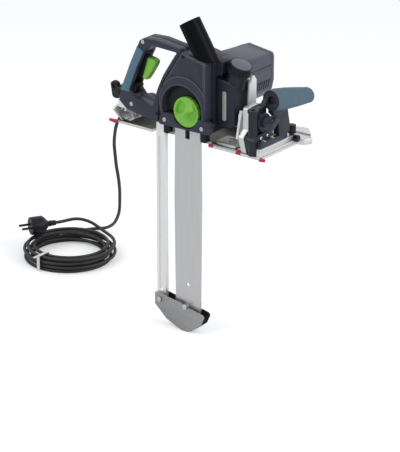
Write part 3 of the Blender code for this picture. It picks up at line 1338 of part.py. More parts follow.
def build_arm_and_guards():
    """The support arm beside the bar, the two tip guards and the bolts that hold them."""
    arm_top = BODY_LOW - GAP
    section = rounded(box_outline(ARM_BACK, ARM_FRONT, -ARM_HALF, ARM_HALF), SINK)
    arm = prism("support_arm", section, "Z", ARM_LOW, arm_top)
    middle = (ARM_BACK + ARM_FRONT) / 2
    high = arm_top - ARM_LOW
    channel = rounded(box_outline(middle - ARM_CHANNEL_WIDE / 2, middle + ARM_CHANNEL_WIDE / 2,
                                  ARM_LOW + ARM_CHANNEL_LOW_SHARE * high,
                                  ARM_LOW + ARM_CHANNEL_TOP_SHARE * high), ARM_CHANNEL_WIDE / 2)
    cut(arm, prism("channel", channel, "Y", -ARM_HALF - OVERRUN, ARM_CHANNEL_DEEP - ARM_HALF))
    outline = spread(TIP_SHARES, (TIP_BACK, TIP_TOP), (TIP_WIDE, -TIP_HIGH))
    near = prism("tip_guard", rounded(outline, BRACKET_ROUND), "Y", -TIP_NEAR - TIP_THICK, -TIP_NEAR)
    far = prism("tip_guard_far", rounded(outline, BRACKET_ROUND), "Y", TIP_NEAR,
                TIP_NEAR + TIP_THICK)
    outside = TIP_NEAR + TIP_THICK + GAP
    bolts = []
    for name, x, half in (("guard_bolt_arm", BOLT_X, ARM_HALF), ("guard_bolt_nose", 0, BAR_HALF)):
        at = (x, 0, BAR_NOSE_Z)
        fused(near, drum("boss", SPACER_R, at, AXIS_Y, -TIP_NEAR - TIP_THICK / 2, -half - GAP,
                         SMALL_STEPS))
        fused(far, drum("boss", SPACER_R, at, AXIS_Y, half + GAP, TIP_NEAR + TIP_THICK / 2,
                        SMALL_STEPS))
        for plate in (near, far, arm):
            cut(plate, drum("hole", BOLT_R + GAP, at, AXIS_Y, -2 * TIP_NEAR, 2 * TIP_NEAR,
                            SMALL_STEPS))
        bolts.append(turned(name, [
            (-outside - BOLT_HEAD_LONG, 0), (-outside - BOLT_HEAD_LONG, BOLT_HEAD_R),
            (-outside, BOLT_HEAD_R), (-outside, BOLT_R), (outside, BOLT_R), (outside, BOLT_HEAD_R),
            (outside + BOLT_HEAD_LONG, BOLT_HEAD_R), (outside + BOLT_HEAD_LONG, 0)],
            at, AXIS_Y, SMALL_STEPS))
    return arm, near, far, bolts


def build_handle():
    """The two shells of the D-handle and the soft pad wrapped round its grip."""
    body = prism("handle", rounded(handle_outline(), HANDLE_ROUND), "Y", -HANDLE_HALF, HANDLE_HALF)
    cut(body, prism("hole", rounded(hole_outline(), HOLE_ROUND), "Y", -2 * HANDLE_HALF,
                    2 * HANDLE_HALF))
    softened(softened(body, -HANDLE_HALF, HANDLE_SOFT), HANDLE_HALF, HANDLE_SOFT)
    cut(body, prism("joint", grown(body_outline(), GAP), "Y", -2 * HANDLE_HALF, 2 * HANDLE_HALF))
    cut(body, handle_prism("cavity", CAVITY_SHARES, CAVITY_HALF))
    cut(body, handle_prism("slot", TRIGGER_SLOT_SHARES, TRIGGER_SLOT_HALF))
    size = (HANDLE_WIDE, HANDLE_HIGH)
    region = spread(GRIP_PAD_SHARES, (HANDLE_BACK, HANDLE_LOW), size)
    outer = grown(handle_outline(), GRIP_PAD_PROUD)
    inner = grown(handle_outline(), -GRIP_PAD_THICK)
    core_half = HANDLE_HALF - GRIP_PAD_THICK
    hole = grown(hole_outline(), GRIP_PAD_EDGE)
    pad = prism("rear_grip", rounded(outer, HANDLE_ROUND), "Y", -HANDLE_HALF - GRIP_PAD_PROUD,
                HANDLE_HALF + GRIP_PAD_PROUD)
    softened(softened(pad, -HANDLE_HALF - GRIP_PAD_PROUD, HANDLE_SOFT),
             HANDLE_HALF + GRIP_PAD_PROUD, HANDLE_SOFT)
    kept(pad, prism("region", region, "Y", -2 * HANDLE_HALF, 2 * HANDLE_HALF))
    cut(pad, prism("core", inner, "Y", -core_half, core_half))
    cut(pad, prism("edge", hole, "Y", -2 * HANDLE_HALF, 2 * HANDLE_HALF))
    room = prism("room", grown(region, GAP), "Y", -2 * HANDLE_HALF, 2 * HANDLE_HALF)
    cut(room, prism("core", grown(inner, -GAP), "Y", GAP - core_half, core_half - GAP))
    cut(room, prism("edge", grown(hole_outline(), GRIP_PAD_EDGE - GAP), "Y", -3 * HANDLE_HALF,
                    3 * HANDLE_HALF))
    cut(body, room)
    shells = []
    for name, side in (("handle_shell_near", -1), ("handle_shell_far", 1)):
        low, high = sorted((side * HANDLE_PART, side * 2 * HANDLE_HALF))
        frame = box_outline(HANDLE_BACK - HANDLE_WIDE, HANDLE_BACK + 2 * HANDLE_WIDE,
                            HANDLE_LOW - HANDLE_HIGH, HANDLE_LOW + 2 * HANDLE_HIGH)
        shells.append(kept(prism(name, frame, "Y", low, high), duplicate(body)))
    data = body.data
    bpy.data.objects.remove(body)
    bpy.data.meshes.remove(data)
    near, far = shells
    pivot = (TRIGGER_PIVOT_X, 0, TRIGGER_PIVOT_Z)
    fused(near, drum("pin", TRIGGER_PIN_R, pivot, AXIS_Y, -CAVITY_HALF - OVERRUN,
                     CAVITY_HALF - GAP, SMALL_STEPS))
    stud_r = math.hypot(REAR_STUD_Y, REAR_STUD_Z)
    angle = math.atan2(REAR_STUD_Z, REAR_STUD_Y)
    head_end = REAR_SEGMENT_X + SEGMENT_THICK + GAP + STUD_HEAD_LONG
    path = arc_slot(stud_r, HEAD_PATH_HALF, angle - TILT - SEGMENT_END, angle + SEGMENT_END)
    cut(far, prism("path", path, "X", HANDLE_BACK - HANDLE_SOFT, head_end + SINK))
    lock_at = (LOCK_X, HANDLE_HALF, LOCK_Z)
    cut(far, drum("bore", LOCK_R + GAP, lock_at, AXIS_Y, -LOCK_DEEP, HANDLE_HALF, SMALL_STEPS))
    rest = LOCK_TRAVEL + GAP - LOCK_DEEP
    button = turned("lock_off", [(rest, 0), (rest, LOCK_R), (LOCK_RISE - SINK, LOCK_R),
                                 (LOCK_RISE, LOCK_R - SINK), (LOCK_RISE, 0)], lock_at, AXIS_Y,
                    SMALL_STEPS)
    return near, far, pad, button, lock_at


def duplicate(obj):
    """A copy of an object with its own mesh."""
    copy = bpy.data.objects.new(obj.name, obj.data.copy())
    bpy.context.scene.collection.objects.link(copy)
    return copy


def build_trigger_and_switch():
    """The trigger on its pivot at the top of the grip, and the switch block below it."""
    outline = spread(TRIGGER_SHARES, (TRIGGER_BACK, TRIGGER_LOW), (TRIGGER_WIDE, TRIGGER_HIGH))
    trigger = prism("trigger", rounded(outline, TRIGGER_ROUND), "Y", -TRIGGER_HALF, TRIGGER_HALF)
    pivot = (TRIGGER_PIVOT_X, 0, TRIGGER_PIVOT_Z)
    fused(trigger, drum("boss", TRIGGER_BOSS_R, pivot, AXIS_Y, -TRIGGER_HALF + SINK,
                        TRIGGER_HALF - SINK, SMALL_STEPS))
    cut(trigger, drum("bore", TRIGGER_PIN_R + GAP, pivot, AXIS_Y, -2 * TRIGGER_HALF,
                      2 * TRIGGER_HALF, SMALL_STEPS))
    switch = handle_prism("switch", SWITCH_SHARES, CAVITY_HALF - GAP, TRIGGER_ROUND)
    return trigger, pivot, switch


def motor_ring(y, droop, inset):
    """The motor's outline at a distance along it, with its top lowered and its edge drawn in."""
    outline = spread(MOTOR_SHARES, (MOTOR_BACK, MOTOR_LOW), (MOTOR_WIDE, MOTOR_HIGH))
    outline = rounded(grown(outline, -inset), MOTOR_ROUND)
    start = MOTOR_LOW + MOTOR_DROOP_SHARE * MOTOR_HIGH
    top = MOTOR_LOW + MOTOR_HIGH
    ring = []
    for x, z in outline:
        share = max(0.0, (z - start) / (top - start))
        ring.append((x, y, z - droop * share))
    return ring


def build_motor_housing():
    """The motor housing: a tapering shell with a bearing wall, side grooves, vents and a lead boss."""
    rings = [motor_ring(MOTOR_NEAR, 0, 0), motor_ring(MOTOR_FAR, MOTOR_DROOP, 0)]
    housing = loft("motor_housing", rings)
    motor = (SPINDLE_X, 0, MOTOR_Z)
    spindle = (SPINDLE_X, 0, SPINDLE_Z)
    wall = MOTOR_NEAR + PARTITION
    cut(housing, drum("cavity", MOTOR_CAVITY_R, motor, AXIS_Y, wall, MOTOR_FAR + OVERRUN, BIG_STEPS))
    fused(housing, drum("boss", BEARING_R + BEARING_BOSS_WALL, spindle, AXIS_Y,
                        REAR_BEARING_Y - GAP, MOTOR_NEAR + OVERRUN))
    cut(housing, drum("seat", BEARING_R + GAP, spindle, AXIS_Y, REAR_BEARING_Y - OVERRUN,
                      REAR_BEARING_Y + BEARING_LONG + GAP))
    cut(housing, drum("seat", MOTOR_BEARING_R + GAP, motor, AXIS_Y, MOTOR_NEAR - OVERRUN,
                      MOTOR_BEARING_NEAR + MOTOR_BEARING_LONG + GAP))
    cut(housing, drum("bore", SHAFT_R + 2 * BORE_FIT, motor, AXIS_Y, MOTOR_NEAR, wall + OVERRUN,
                      SMALL_STEPS))
    side = MOTOR_BACK + MOTOR_WIDE
    for share in GROOVE_Z_SHARES:
        z = MOTOR_LOW + share * MOTOR_HIGH
        groove = box_outline(side - GROOVE_DEEP, side + OVERRUN, z, z + GROOVE_WIDE)
        cut(housing, prism("groove", groove, "Y", MOTOR_NEAR + PARTITION, MOTOR_FAR + OVERRUN))
    for index in range(VENT_COUNT):
        y = VENT_FIRST_Y + index * VENT_PITCH
        vent = box_outline(y, y + VENT_WIDE, VENT_Z, VENT_Z + VENT_HIGH)
        cut(housing, prism("vent", vent, "X", MOTOR_BACK - OVERRUN, side + OVERRUN))
    boss = rounded(box_outline(CORD_BOSS_NEAR, CORD_BOSS_FAR, CORD_BOSS_LOW, CORD_BOSS_HIGH),
                   CORD_BOSS_ROUND)
    fused(housing, prism("boss", boss, "X", CORD_BOSS_BACK, CORD_BOSS_FRONT))
    cord = (CORD_BOSS_BACK, CORD_Y, CORD_Z)
    cut(housing, drum("seat", GLAND_R + GAP, cord, AXIS_X, -OVERRUN, GLAND_SEAT + GAP, SMALL_STEPS))
    return housing, cord


def build_end_cap():
    """The motor's end cap, hollow behind its bearing boss, with vents through its face."""
    near = MOTOR_FAR + GAP
    face = near + CAP_LONG
    cap = loft("motor_end_cap", [motor_ring(near, MOTOR_DROOP, 0),
                                 motor_ring(face - CAP_INSET, MOTOR_DROOP, 0),
                                 motor_ring(face, MOTOR_DROOP, CAP_INSET)])
    motor = (SPINDLE_X, 0, MOTOR_Z)
    seat_end = MOTOR_BEARING_FAR + MOTOR_BEARING_LONG + GAP
    boss_r = MOTOR_BEARING_R + BEARING_BOSS_WALL
    cut(cap, tube("hollow", MOTOR_CAVITY_R - CAP_WALL, boss_r, motor, AXIS_Y, near - OVERRUN,
                  face - CAP_WALL, ROUND_STEPS))
    cut(cap, drum("seat", MOTOR_BEARING_R + GAP, motor, AXIS_Y, near - OVERRUN, seat_end))
    cut(cap, drum("relief", SHAFT_R + BORE_FIT, motor, AXIS_Y, near, SHAFT_FAR + SINK, SMALL_STEPS))
    middle = (boss_r + MOTOR_CAVITY_R - CAP_WALL) / 2
    for index in range(VENT_COUNT):
        angle = 2 * math.pi * index / VENT_COUNT
        vent = drum("vent", VENT_WIDE, (SPINDLE_X + middle * math.cos(angle), 0,
                                        MOTOR_Z + middle * math.sin(angle)),
                    AXIS_Y, face - 2 * CAP_WALL, face + OVERRUN, SCREW_STEPS)
        cut(cap, vent)
    return cap


def build_motor_inside():
    """Armature with pinion, fan, commutator and its two bearings, the stator, and the brushes."""
    motor = (SPINDLE_X, 0, MOTOR_Z)
    armature = turned("armature", [
        (SHAFT_NEAR, 0), (SHAFT_NEAR, SHAFT_R), (MOTOR_BEARING_NEAR, SHAFT_R),
        (MOTOR_BEARING_NEAR, MOTOR_BEARING_R),
        (MOTOR_BEARING_NEAR + MOTOR_BEARING_LONG, MOTOR_BEARING_R),
        (MOTOR_BEARING_NEAR + MOTOR_BEARING_LONG, SHAFT_R), (CORE_NEAR - WINDING_LONG, SHAFT_R),
        (CORE_NEAR - WINDING_LONG, WINDING_R), (CORE_NEAR, WINDING_R), (CORE_NEAR, CORE_R),
        (CORE_FAR, CORE_R), (CORE_FAR, WINDING_R), (CORE_FAR + WINDING_LONG, WINDING_R),
        (CORE_FAR + WINDING_LONG, SHAFT_R), (COMMUTATOR_NEAR, SHAFT_R),
        (COMMUTATOR_NEAR, COMMUTATOR_R), (COMMUTATOR_FAR, COMMUTATOR_R), (COMMUTATOR_FAR, SHAFT_R),
        (MOTOR_BEARING_FAR, SHAFT_R), (MOTOR_BEARING_FAR, MOTOR_BEARING_R),
        (MOTOR_BEARING_FAR + MOTOR_BEARING_LONG, MOTOR_BEARING_R),
        (MOTOR_BEARING_FAR + MOTOR_BEARING_LONG, 0)], motor, AXIS_Y, SMALL_STEPS)
    pinion = toothed(SPINDLE_X, MOTOR_Z, PINION_R, PINION_R - PINION_TOOTH_DEEP, PINION_TEETH)
    fused(armature, prism("pinion", pinion, "Y", PINION_NEAR, PINION_FAR))
    fused(armature, drum("fan", FAN_R, motor, AXIS_Y, FAN_NEAR, FAN_NEAR + FAN_PLATE))
    for index in range(FAN_BLADES):
        blade = box_outline(SHAFT_R - SINK, FAN_R - SINK, -FAN_BLADE_THICK / 2, FAN_BLADE_THICK / 2)
        solid = prism("blade", blade, "Z", FAN_PLATE / 2, FAN_FAR - FAN_NEAR)
        solid.data.transform(Matrix.Rotation(2 * math.pi * index / FAN_BLADES, 4, "Z"))
        fused(armature, moved(solid, (SPINDLE_X, FAN_NEAR, MOTOR_Z), AXIS_Y))
    stator = tube("stator", MOTOR_CAVITY_R - GAP, STATOR_BORE_R, motor, AXIS_Y, STATOR_NEAR,
                  STATOR_FAR)
    reach = MOTOR_CAVITY_R - SINK
    start = COMMUTATOR_R + GAP
    brushes = []
    for name, side in (("brush_holder_back", -1), ("brush_holder_front", 1)):
        profile = [(start, 0), (start, BRUSH_R), (start + BRUSH_LONG / 4, BRUSH_R),
                   (start + BRUSH_LONG / 4, BRUSH_SLEEVE_R), (reach, BRUSH_SLEEVE_R), (reach, 0)]
        brushes.append(turned(name, profile, (SPINDLE_X, BRUSH_Y, MOTOR_Z), AXIS_X * side,
                              SCREW_STEPS))
    return armature, stator, brushes


def build_drive():
    """The spindle with its circlip and two bearings, the big gear and the chain sprocket."""
    axis = (SPINDLE_X, 0, SPINDLE_Z)
    spindle = turned("spindle", [
        (SPINDLE_NEAR, 0), (SPINDLE_NEAR, SPINDLE_R), (CIRCLIP_Y - CIRCLIP_HALF, SPINDLE_R),
        (CIRCLIP_Y - CIRCLIP_HALF, CIRCLIP_R), (CIRCLIP_Y + CIRCLIP_HALF, CIRCLIP_R),
        (CIRCLIP_Y + CIRCLIP_HALF, SPINDLE_R), (FRONT_BEARING_Y, SPINDLE_R),
        (FRONT_BEARING_Y, BEARING_R), (FRONT_BEARING_Y + BEARING_LONG, BEARING_R),
        (FRONT_BEARING_Y + BEARING_LONG, SPINDLE_R), (REAR_BEARING_Y, SPINDLE_R),
        (REAR_BEARING_Y, BEARING_R), (REAR_BEARING_Y + BEARING_LONG, BEARING_R),
        (REAR_BEARING_Y + BEARING_LONG, 0)], axis, AXIS_Y, SMALL_STEPS)
    wheel = toothed(SPINDLE_X, SPINDLE_Z, GEAR_R, GEAR_R - GEAR_TOOTH_DEEP, GEAR_TEETH)
    gear = prism("reduction_gear", wheel, "Y", GEAR_NEAR, GEAR_FAR)
    cut(gear, drum("bore", SPINDLE_R + GAP, axis, AXIS_Y, GEAR_NEAR - OVERRUN, GEAR_FAR + OVERRUN))
    chain_wheel = toothed(SPINDLE_X, SPINDLE_Z, SPROCKET_R, SPROCKET_ROOT_R, SPROCKET_TEETH)
    sprocket = prism("drive_sprocket", chain_wheel, "Y", -SPROCKET_HALF, SPROCKET_HALF)
    cut(sprocket, drum("bore", SPINDLE_R + GAP, axis, AXIS_Y, -2 * SPROCKET_HALF,
                       2 * SPROCKET_HALF))
    return spindle, gear, sprocket, axis


def build_tank():
    """The oil tank with its filler neck, the sight window in its face, and the screw cap."""
    back = BODY_BACK + BODY_WIDE + GAP
    outline = spread(TANK_SHARES, (back, TANK_LOW), (TANK_WIDE, TANK_HIGH))
    lean = Matrix.Rotation(FILLER_LEAN, 3, "Y") @ AXIS_Z
    tank = prism("oil_tank", rounded(outline, TANK_ROUND), "Y", TANK_NEAR, TANK_FAR)
    collar = turned("collar", [
        (-NECK_ROOT, 0), (-NECK_ROOT, COLLAR_R), (COLLAR_LONG, COLLAR_R), (COLLAR_LONG, NECK_R),
        (NECK_LONG, NECK_R), (NECK_LONG, 0)], FILLER_AT, lean)
    fused(tank, collar)
    hollow = prism("hollow", grown(outline, -TANK_WALL), "Y", TANK_NEAR + TANK_WALL,
                   TANK_FAR - TANK_WALL)
    cut(tank, hollow)
    cut(tank, drum("bore", NECK_BORE_R, FILLER_AT, lean, -2 * NECK_ROOT, NECK_LONG + OVERRUN))
    left = SIGHT_X - SIGHT_WIDE / 2
    slit = box_outline(left, left + SIGHT_WIDE, SIGHT_LOW, SIGHT_LOW + SIGHT_HIGH)
    near = TANK_NEAR - SIGHT_PROUD
    cut(tank, prism("slit", rounded(grown(slit, GAP), SIGHT_WIDE / 3), "Y", near - OVERRUN,
                    TANK_NEAR + TANK_WALL + OVERRUN))
    window = prism("oil_window", rounded(slit, SIGHT_WIDE / 3), "Y", near, near + SIGHT_THICK)
    cap_low = COLLAR_LONG + GAP
    cap_high = cap_low + OIL_CAP_LONG
    roof = cap_high - OIL_CAP_ROOF
    profile = [
        (roof, 0), (roof, NECK_R + GAP), (cap_low, NECK_R + GAP), (cap_low, OIL_CAP_R),
        (cap_high - OIL_CAP_DOME, OIL_CAP_R), (cap_high, OIL_CAP_R - OIL_CAP_DOME),
        (cap_high - SINK, OIL_CAP_R - 2 * OIL_CAP_DOME), (cap_high + OIL_CAP_DOME, 0)]
    cap = turned("oil_cap", profile, (0, 0, 0), AXIS_Z, BIG_STEPS)
    flutes = toothed(0, 0, OIL_CAP_R + SINK, OIL_CAP_R - OIL_CAP_FLUTE_DEEP, OIL_CAP_FLUTES, 2)
    kept(cap, prism("flutes", flutes, "Z", cap_low - OVERRUN, cap_high + 2 * OIL_CAP_DOME))
    return tank, window, moved(cap, FILLER_AT, lean)


def build_pump():
    """The oil pump, bolted by its flange to the housing's floor behind the bar."""
    profile = [(0, 0), (0, PUMP_FLANGE_R), (PUMP_FLANGE, PUMP_FLANGE_R), (PUMP_FLANGE, PUMP_R),
               (PUMP_LONG, PUMP_R), (PUMP_LONG, 0)]
    return turned("oil_pump", profile, (PUMP_X, PUMP_NEAR, PUMP_Z), AXIS_Y, SMALL_STEPS)


def build_segment(name, x, stud_y, stud_z, pin_arm):
    """A tilt segment: a flat sector about the tilt line with one arc slot for the stud, one for the pin."""
    angle = math.atan2(stud_z, stud_y)
    radius = math.hypot(stud_y, stud_z)
    inner = pin_arm - GUIDE_PIN_R - SLOT_FIT - SEGMENT_RIM
    outer = radius + STUD_R + SLOT_FIT + SEGMENT_RIM
    first = angle + SEGMENT_END
    last = angle - TILT - SEGMENT_END
    outline = []
    for step in range(ARC_STEPS + 1):
        turn = first + (last - first) * step / ARC_STEPS
        outline.append((outer * math.cos(turn), outer * math.sin(turn)))
    for step in range(ARC_STEPS + 1):
        turn = last + (first - last) * step / ARC_STEPS
        outline.append((inner * math.cos(turn), inner * math.sin(turn)))
    segment = prism(name, outline, "X", x, x + SEGMENT_THICK)
    for arm, half in ((radius, STUD_R + SLOT_FIT), (pin_arm, GUIDE_PIN_R + SLOT_FIT)):
        spare = SLOT_FIT / arm
        slot = arc_slot(arm, half, angle - TILT - spare, angle + spare)
        cut(segment, prism("slot", slot, "X", x - OVERRUN, x + SEGMENT_THICK + OVERRUN))
    return segment


def build_segments():
    """The front segment with its arm to the motor, and the rear one with its lug under the handle."""
    front = build_segment("front_tilt_segment", FRONT_SEGMENT_X, FRONT_STUD_Y, FRONT_STUD_Z,
                          FRONT_PIN_ARM)
    arm = spread(SEGMENT_ARM_SHARES, (SEGMENT_ARM_NEAR, SEGMENT_ARM_LOW),
                 (SEGMENT_ARM_WIDE, SEGMENT_ARM_HIGH))
    fused(front, prism("arm", rounded(arm, SEGMENT_ARM_ROUND), "X", FRONT_SEGMENT_X,
                       FRONT_SEGMENT_X + SEGMENT_THICK))
    side = MOTOR_BACK + MOTOR_WIDE + GAP
    lug = box_outline(SEGMENT_LUG_NEAR, SEGMENT_LUG_FAR, SEGMENT_LUG_LOW,
                      SEGMENT_LUG_LOW + SEGMENT_LUG_HIGH)
    fused(front, prism("lug", lug, "X", side, FRONT_SEGMENT_X + OVERRUN))
    rear = build_segment("rear_tilt_segment", REAR_SEGMENT_X, REAR_STUD_Y, REAR_STUD_Z,
                         REAR_PIN_ARM)
    tab = box_outline(REAR_TAB_NEAR, REAR_TAB_FAR, REAR_TAB_LOW, REAR_TAB_HIGH)
    fused(rear, prism("tab", tab, "X", REAR_SEGMENT_X, REAR_SEGMENT_X + SEGMENT_THICK))
    foot = box_outline(REAR_TAB_NEAR, REAR_LUG_FAR, REAR_TAB_LOW, REAR_TAB_HIGH)
    solid = prism("foot", foot, "X", REAR_SEGMENT_X + SEGMENT_THICK - OVERRUN, REAR_LUG_FRONT)
    cut(solid, prism("handle", grown(handle_outline(), GAP), "Y", -2 * HANDLE_HALF,
                     2 * HANDLE_HALF))
    fused(rear, solid)
    return front, rear


def build_gland(cord):
    """The lead's strain relief: a collar on the boss and a ribbed sleeve that tapers to the lead."""
    tip = CORD_BOSS_BACK - CORD_BACK - GAP
    profile = [(-GLAND_SEAT, 0), (-GLAND_SEAT, GLAND_R), (GAP, GLAND_R), (GAP, GLAND_COLLAR_R),
               (GLAND_COLLAR_LONG, GLAND_COLLAR_R)]
    step = (tip - GLAND_COLLAR_LONG) / (2 * GLAND_RIBS)
    for index in range(2 * GLAND_RIBS):
        share = (index + 1) / (2 * GLAND_RIBS)
        radius = GLAND_R + (GLAND_TIP_R - GLAND_R) * share
        high = radius - GLAND_RIB_HIGH if index % 2 == 0 else radius
        profile.append((GLAND_COLLAR_LONG + index * step + GAP, high))
        profile.append((GLAND_COLLAR_LONG + (index + 1) * step, high))
    profile.append((profile[-1][0], 0))
    return turned("cord_gland", profile, cord, -AXIS_X, SMALL_STEPS)


def smooth_route(points, spacing):
    """Evenly spaced points on a smooth curve through the route's own points."""
    route = [Vector(point) for point in points]
    route = [2 * route[0] - route[1]] + route + [2 * route[-1] - route[-2]]
    fine = []
    for index in range(1, len(route) - 2):
        before, start, end, after = route[index - 1:index + 3]
        for step in range(SMALL_STEPS):
            t = step / SMALL_STEPS
            fine.append(0.5 * (2 * start + (end - before) * t
                               + (2 * before - 5 * start + 4 * end - after) * t * t
                               + (3 * start - before - 3 * end + after) * t * t * t))
    fine.append(route[-2])
    lengths = [0.0]
    for last, here in zip(fine, fine[1:]):
        lengths.append(lengths[-1] + (here - last).length)
    count = round(lengths[-1] / spacing)
    result = []
    place_in = 0
    for step in range(count + 1):
        target = lengths[-1] * step / count
        while place_in < len(lengths) - 2 and lengths[place_in + 1] < target:
            place_in += 1
        part = (target - lengths[place_in]) / (lengths[place_in + 1] - lengths[place_in])
        result.append(fine[place_in].lerp(fine[place_in + 1], min(max(part, 0.0), 1.0)))
    return result


def eased(share):
    """A share from 0 to 1 that starts and stops gently."""
    share = min(max(share, 0.0), 1.0)
    return share * share * (3 - 2 * share)


def coil_place(angle, radius, z):
    """A point of the coil at an angle round it."""
    return Vector((COIL_X + radius * math.cos(angle), COIL_Y + radius * math.sin(angle), z))


def coil_points():
    """The coil: layers spiral in and out, climb where they reverse, and end on top at the plug."""
    low = FLOOR_Z + CORD_R
    wide = COIL_OUTER - COIL_INNER
    turns = COIL_LAYERS * COIL_LAYER_TURNS + (COIL_LAYERS - 1) * COIL_CLIMB_TURNS
    count = round(turns * COIL_LOOP_POINTS)
    period = COIL_LAYER_TURNS + COIL_CLIMB_TURNS
    heading = Vector((-math.sin(COIL_START), math.cos(COIL_START), 0))
    first = coil_place(COIL_START, COIL_OUTER, low)
    points = [first - heading * 2 * CORD_R]
    for step in range(count + 1):
        turn = turns * step / count
        layer = min(int(turn / period), COIL_LAYERS - 1)
        inside = turn - layer * period
        share = min(inside / COIL_LAYER_TURNS, 1.0)
        climb = eased((inside - COIL_LAYER_TURNS) / COIL_CLIMB_TURNS)
        inward = share if layer % 2 == 0 else 1.0 - share
        points.append(coil_place(COIL_START + 2 * math.pi * turn, COIL_OUTER - wide * inward,
                                 low + COIL_RISE * (layer + climb)))
    end_angle = COIL_START + 2 * math.pi * turns
    top = low + COIL_RISE * (COIL_LAYERS - 1)
    for step in range(1, TAIL_POINTS + 1):
        share = step / TAIL_POINTS
        rise = eased(share / TAIL_RISE_SHARE)
        inward = eased((share - TAIL_INWARD_SHARE) / (1 - TAIL_INWARD_SHARE))
        points.append(coil_place(end_angle + TAIL_TURN * share,
                                 COIL_OUTER - (COIL_OUTER - TAIL_RADIUS) * inward,
                                 top + TAIL_HIGH * rise))
    last = end_angle + TAIL_TURN
    out = Vector((-math.sin(last), math.cos(last), 0))
    points.append(points[-1] + out * 2 * CORD_R)
    return points, first - heading * 2 * CORD_R, heading, out


def least_gap(points, radius):
    """The least space between stretches of a tube that are more than a few diameters apart."""
    lengths = [0.0]
    for last, here in zip(points, points[1:]):
        lengths.append(lengths[-1] + (here - last).length)
    least = lengths[-1]
    for index, here in enumerate(points[:-1]):
        span = points[index + 1] - here
        for other in range(len(points)):
            if abs(lengths[other] - lengths[index]) > 16 * radius:
                along = max(0.0, min(1.0, (points[other] - here).dot(span) / span.length_squared))
                least = min(least, (points[other] - here - span * along).length)
    return least - 2 * radius


def tube_along(name, points, detail, kind, parent):
    """A round tube with closed ends along a row of points."""
    curve = bpy.data.curves.new(name, "CURVE")
    curve.dimensions = "3D"
    curve.bevel_depth = CORD_R
    curve.bevel_resolution = detail
    curve.use_fill_caps = True
    spline = curve.splines.new("POLY")
    spline.points.add(len(points) - 1)
    for spot, point in zip(spline.points, points):
        spot.co = (point.x, point.y, point.z, 1.0)
    obj = bpy.data.objects.new(name, curve)
    bpy.context.scene.collection.objects.link(obj)
    obj.parent = parent
    paint(obj, kind)
    return obj


def build_plug(start, along):
    """The moulded mains plug: a ribbed relief, a round body and two pins."""
    body = PLUG_RELIEF_LONG + PLUG_SHOULDER_LONG
    face = body + PLUG_BODY_LONG
    profile = [(0, 0), (0, PLUG_RELIEF_R)]
    step = PLUG_RELIEF_LONG / (2 * PLUG_RIBS)
    for index in range(1, PLUG_RIBS + 1):
        profile.append(((2 * index - 1) * step, PLUG_RELIEF_R - GAP))
        profile.append((2 * index * step, PLUG_RELIEF_R + 2 * index * GAP))
    profile += [(body - PLUG_SHOULDER_LONG / 2, PLUG_BACK_R), (body, PLUG_BODY_R),
                (face - SINK, PLUG_BODY_R), (face, PLUG_BODY_R - SINK), (face, 0)]
    plug = turned("mains_plug", profile, (0, 0, 0), AXIS_Z)
    for side in (-1, 1):
        fused(plug, drum("pin", PIN_R, (side * PIN_SPREAD, 0, 0), AXIS_Z, face - SINK,
                         face + PIN_LONG, SCREW_STEPS))
    return moved(plug, start, along)


def build_tie():
    """The cable tie: a thin band round all the coil's loops, with its head and tail outside."""
    low_y = COIL_Y - COIL_OUTER - CORD_R - TIE_ROOM
    high_y = COIL_Y - COIL_INNER + CORD_R + TIE_ROOM
    low_z = FLOOR_Z - TIE_ROOM
    high_z = FLOOR_Z + 2 * CORD_R + (COIL_LAYERS - 1) * COIL_RISE + TIE_ROOM
    inner = box_outline(low_y, high_y, low_z, high_z)
    band = prism("cable_tie", rounded(grown(inner, TIE_THICK), 2 * TIE_THICK), "X",
                 COIL_X - TIE_WIDE / 2, COIL_X + TIE_WIDE / 2)
    cut(band, prism("room", inner, "X", COIL_X - TIE_WIDE, COIL_X + TIE_WIDE))
    tail = box_outline(low_y - TIE_TAIL, low_y, high_z, high_z + TIE_THICK)
    fused(band, prism("tail", tail, "X", COIL_X - TIE_WIDE / 2 + GAP, COIL_X + TIE_WIDE / 2 - GAP))
    return band


def build_cord(parent):
    """The mains lead from the gland down to the floor, its coil, the plug and the tie."""
    coil, start, heading, out = coil_points()
    gap = least_gap(coil, CORD_R)
    print("least gap between the coil's loops in mm:", round(gap * 1000, 2))
    if gap < LEAST_COIL_GAP:
        raise ValueError("the coil's loops touch")
    end = start - heading * GAP
    first = Vector((CORD_BACK, CORD_Y, CORD_Z))
    out_of_gland = first - Vector(AXIS_X) * 2 * CORD_R
    into_coil = end - heading * 2 * CORD_R
    route = [first, out_of_gland] + CORD_ROUTE + [into_coil, end]
    middle = smooth_route(route, LEAD_SPACING)
    inner = [point for point in middle if (point - first).length > 4 * CORD_R
             and (point - end).length > 4 * CORD_R]
    tube_along("mains_lead", [first, out_of_gland] + inner + [into_coil, end], 2, "cord", parent)
    tube_along("cord_coil", coil, 1, "cord", parent)
    finish(build_plug(coil[-1] + out * GAP, out), "black", parent)
    finish(build_tie(), "tie", parent)


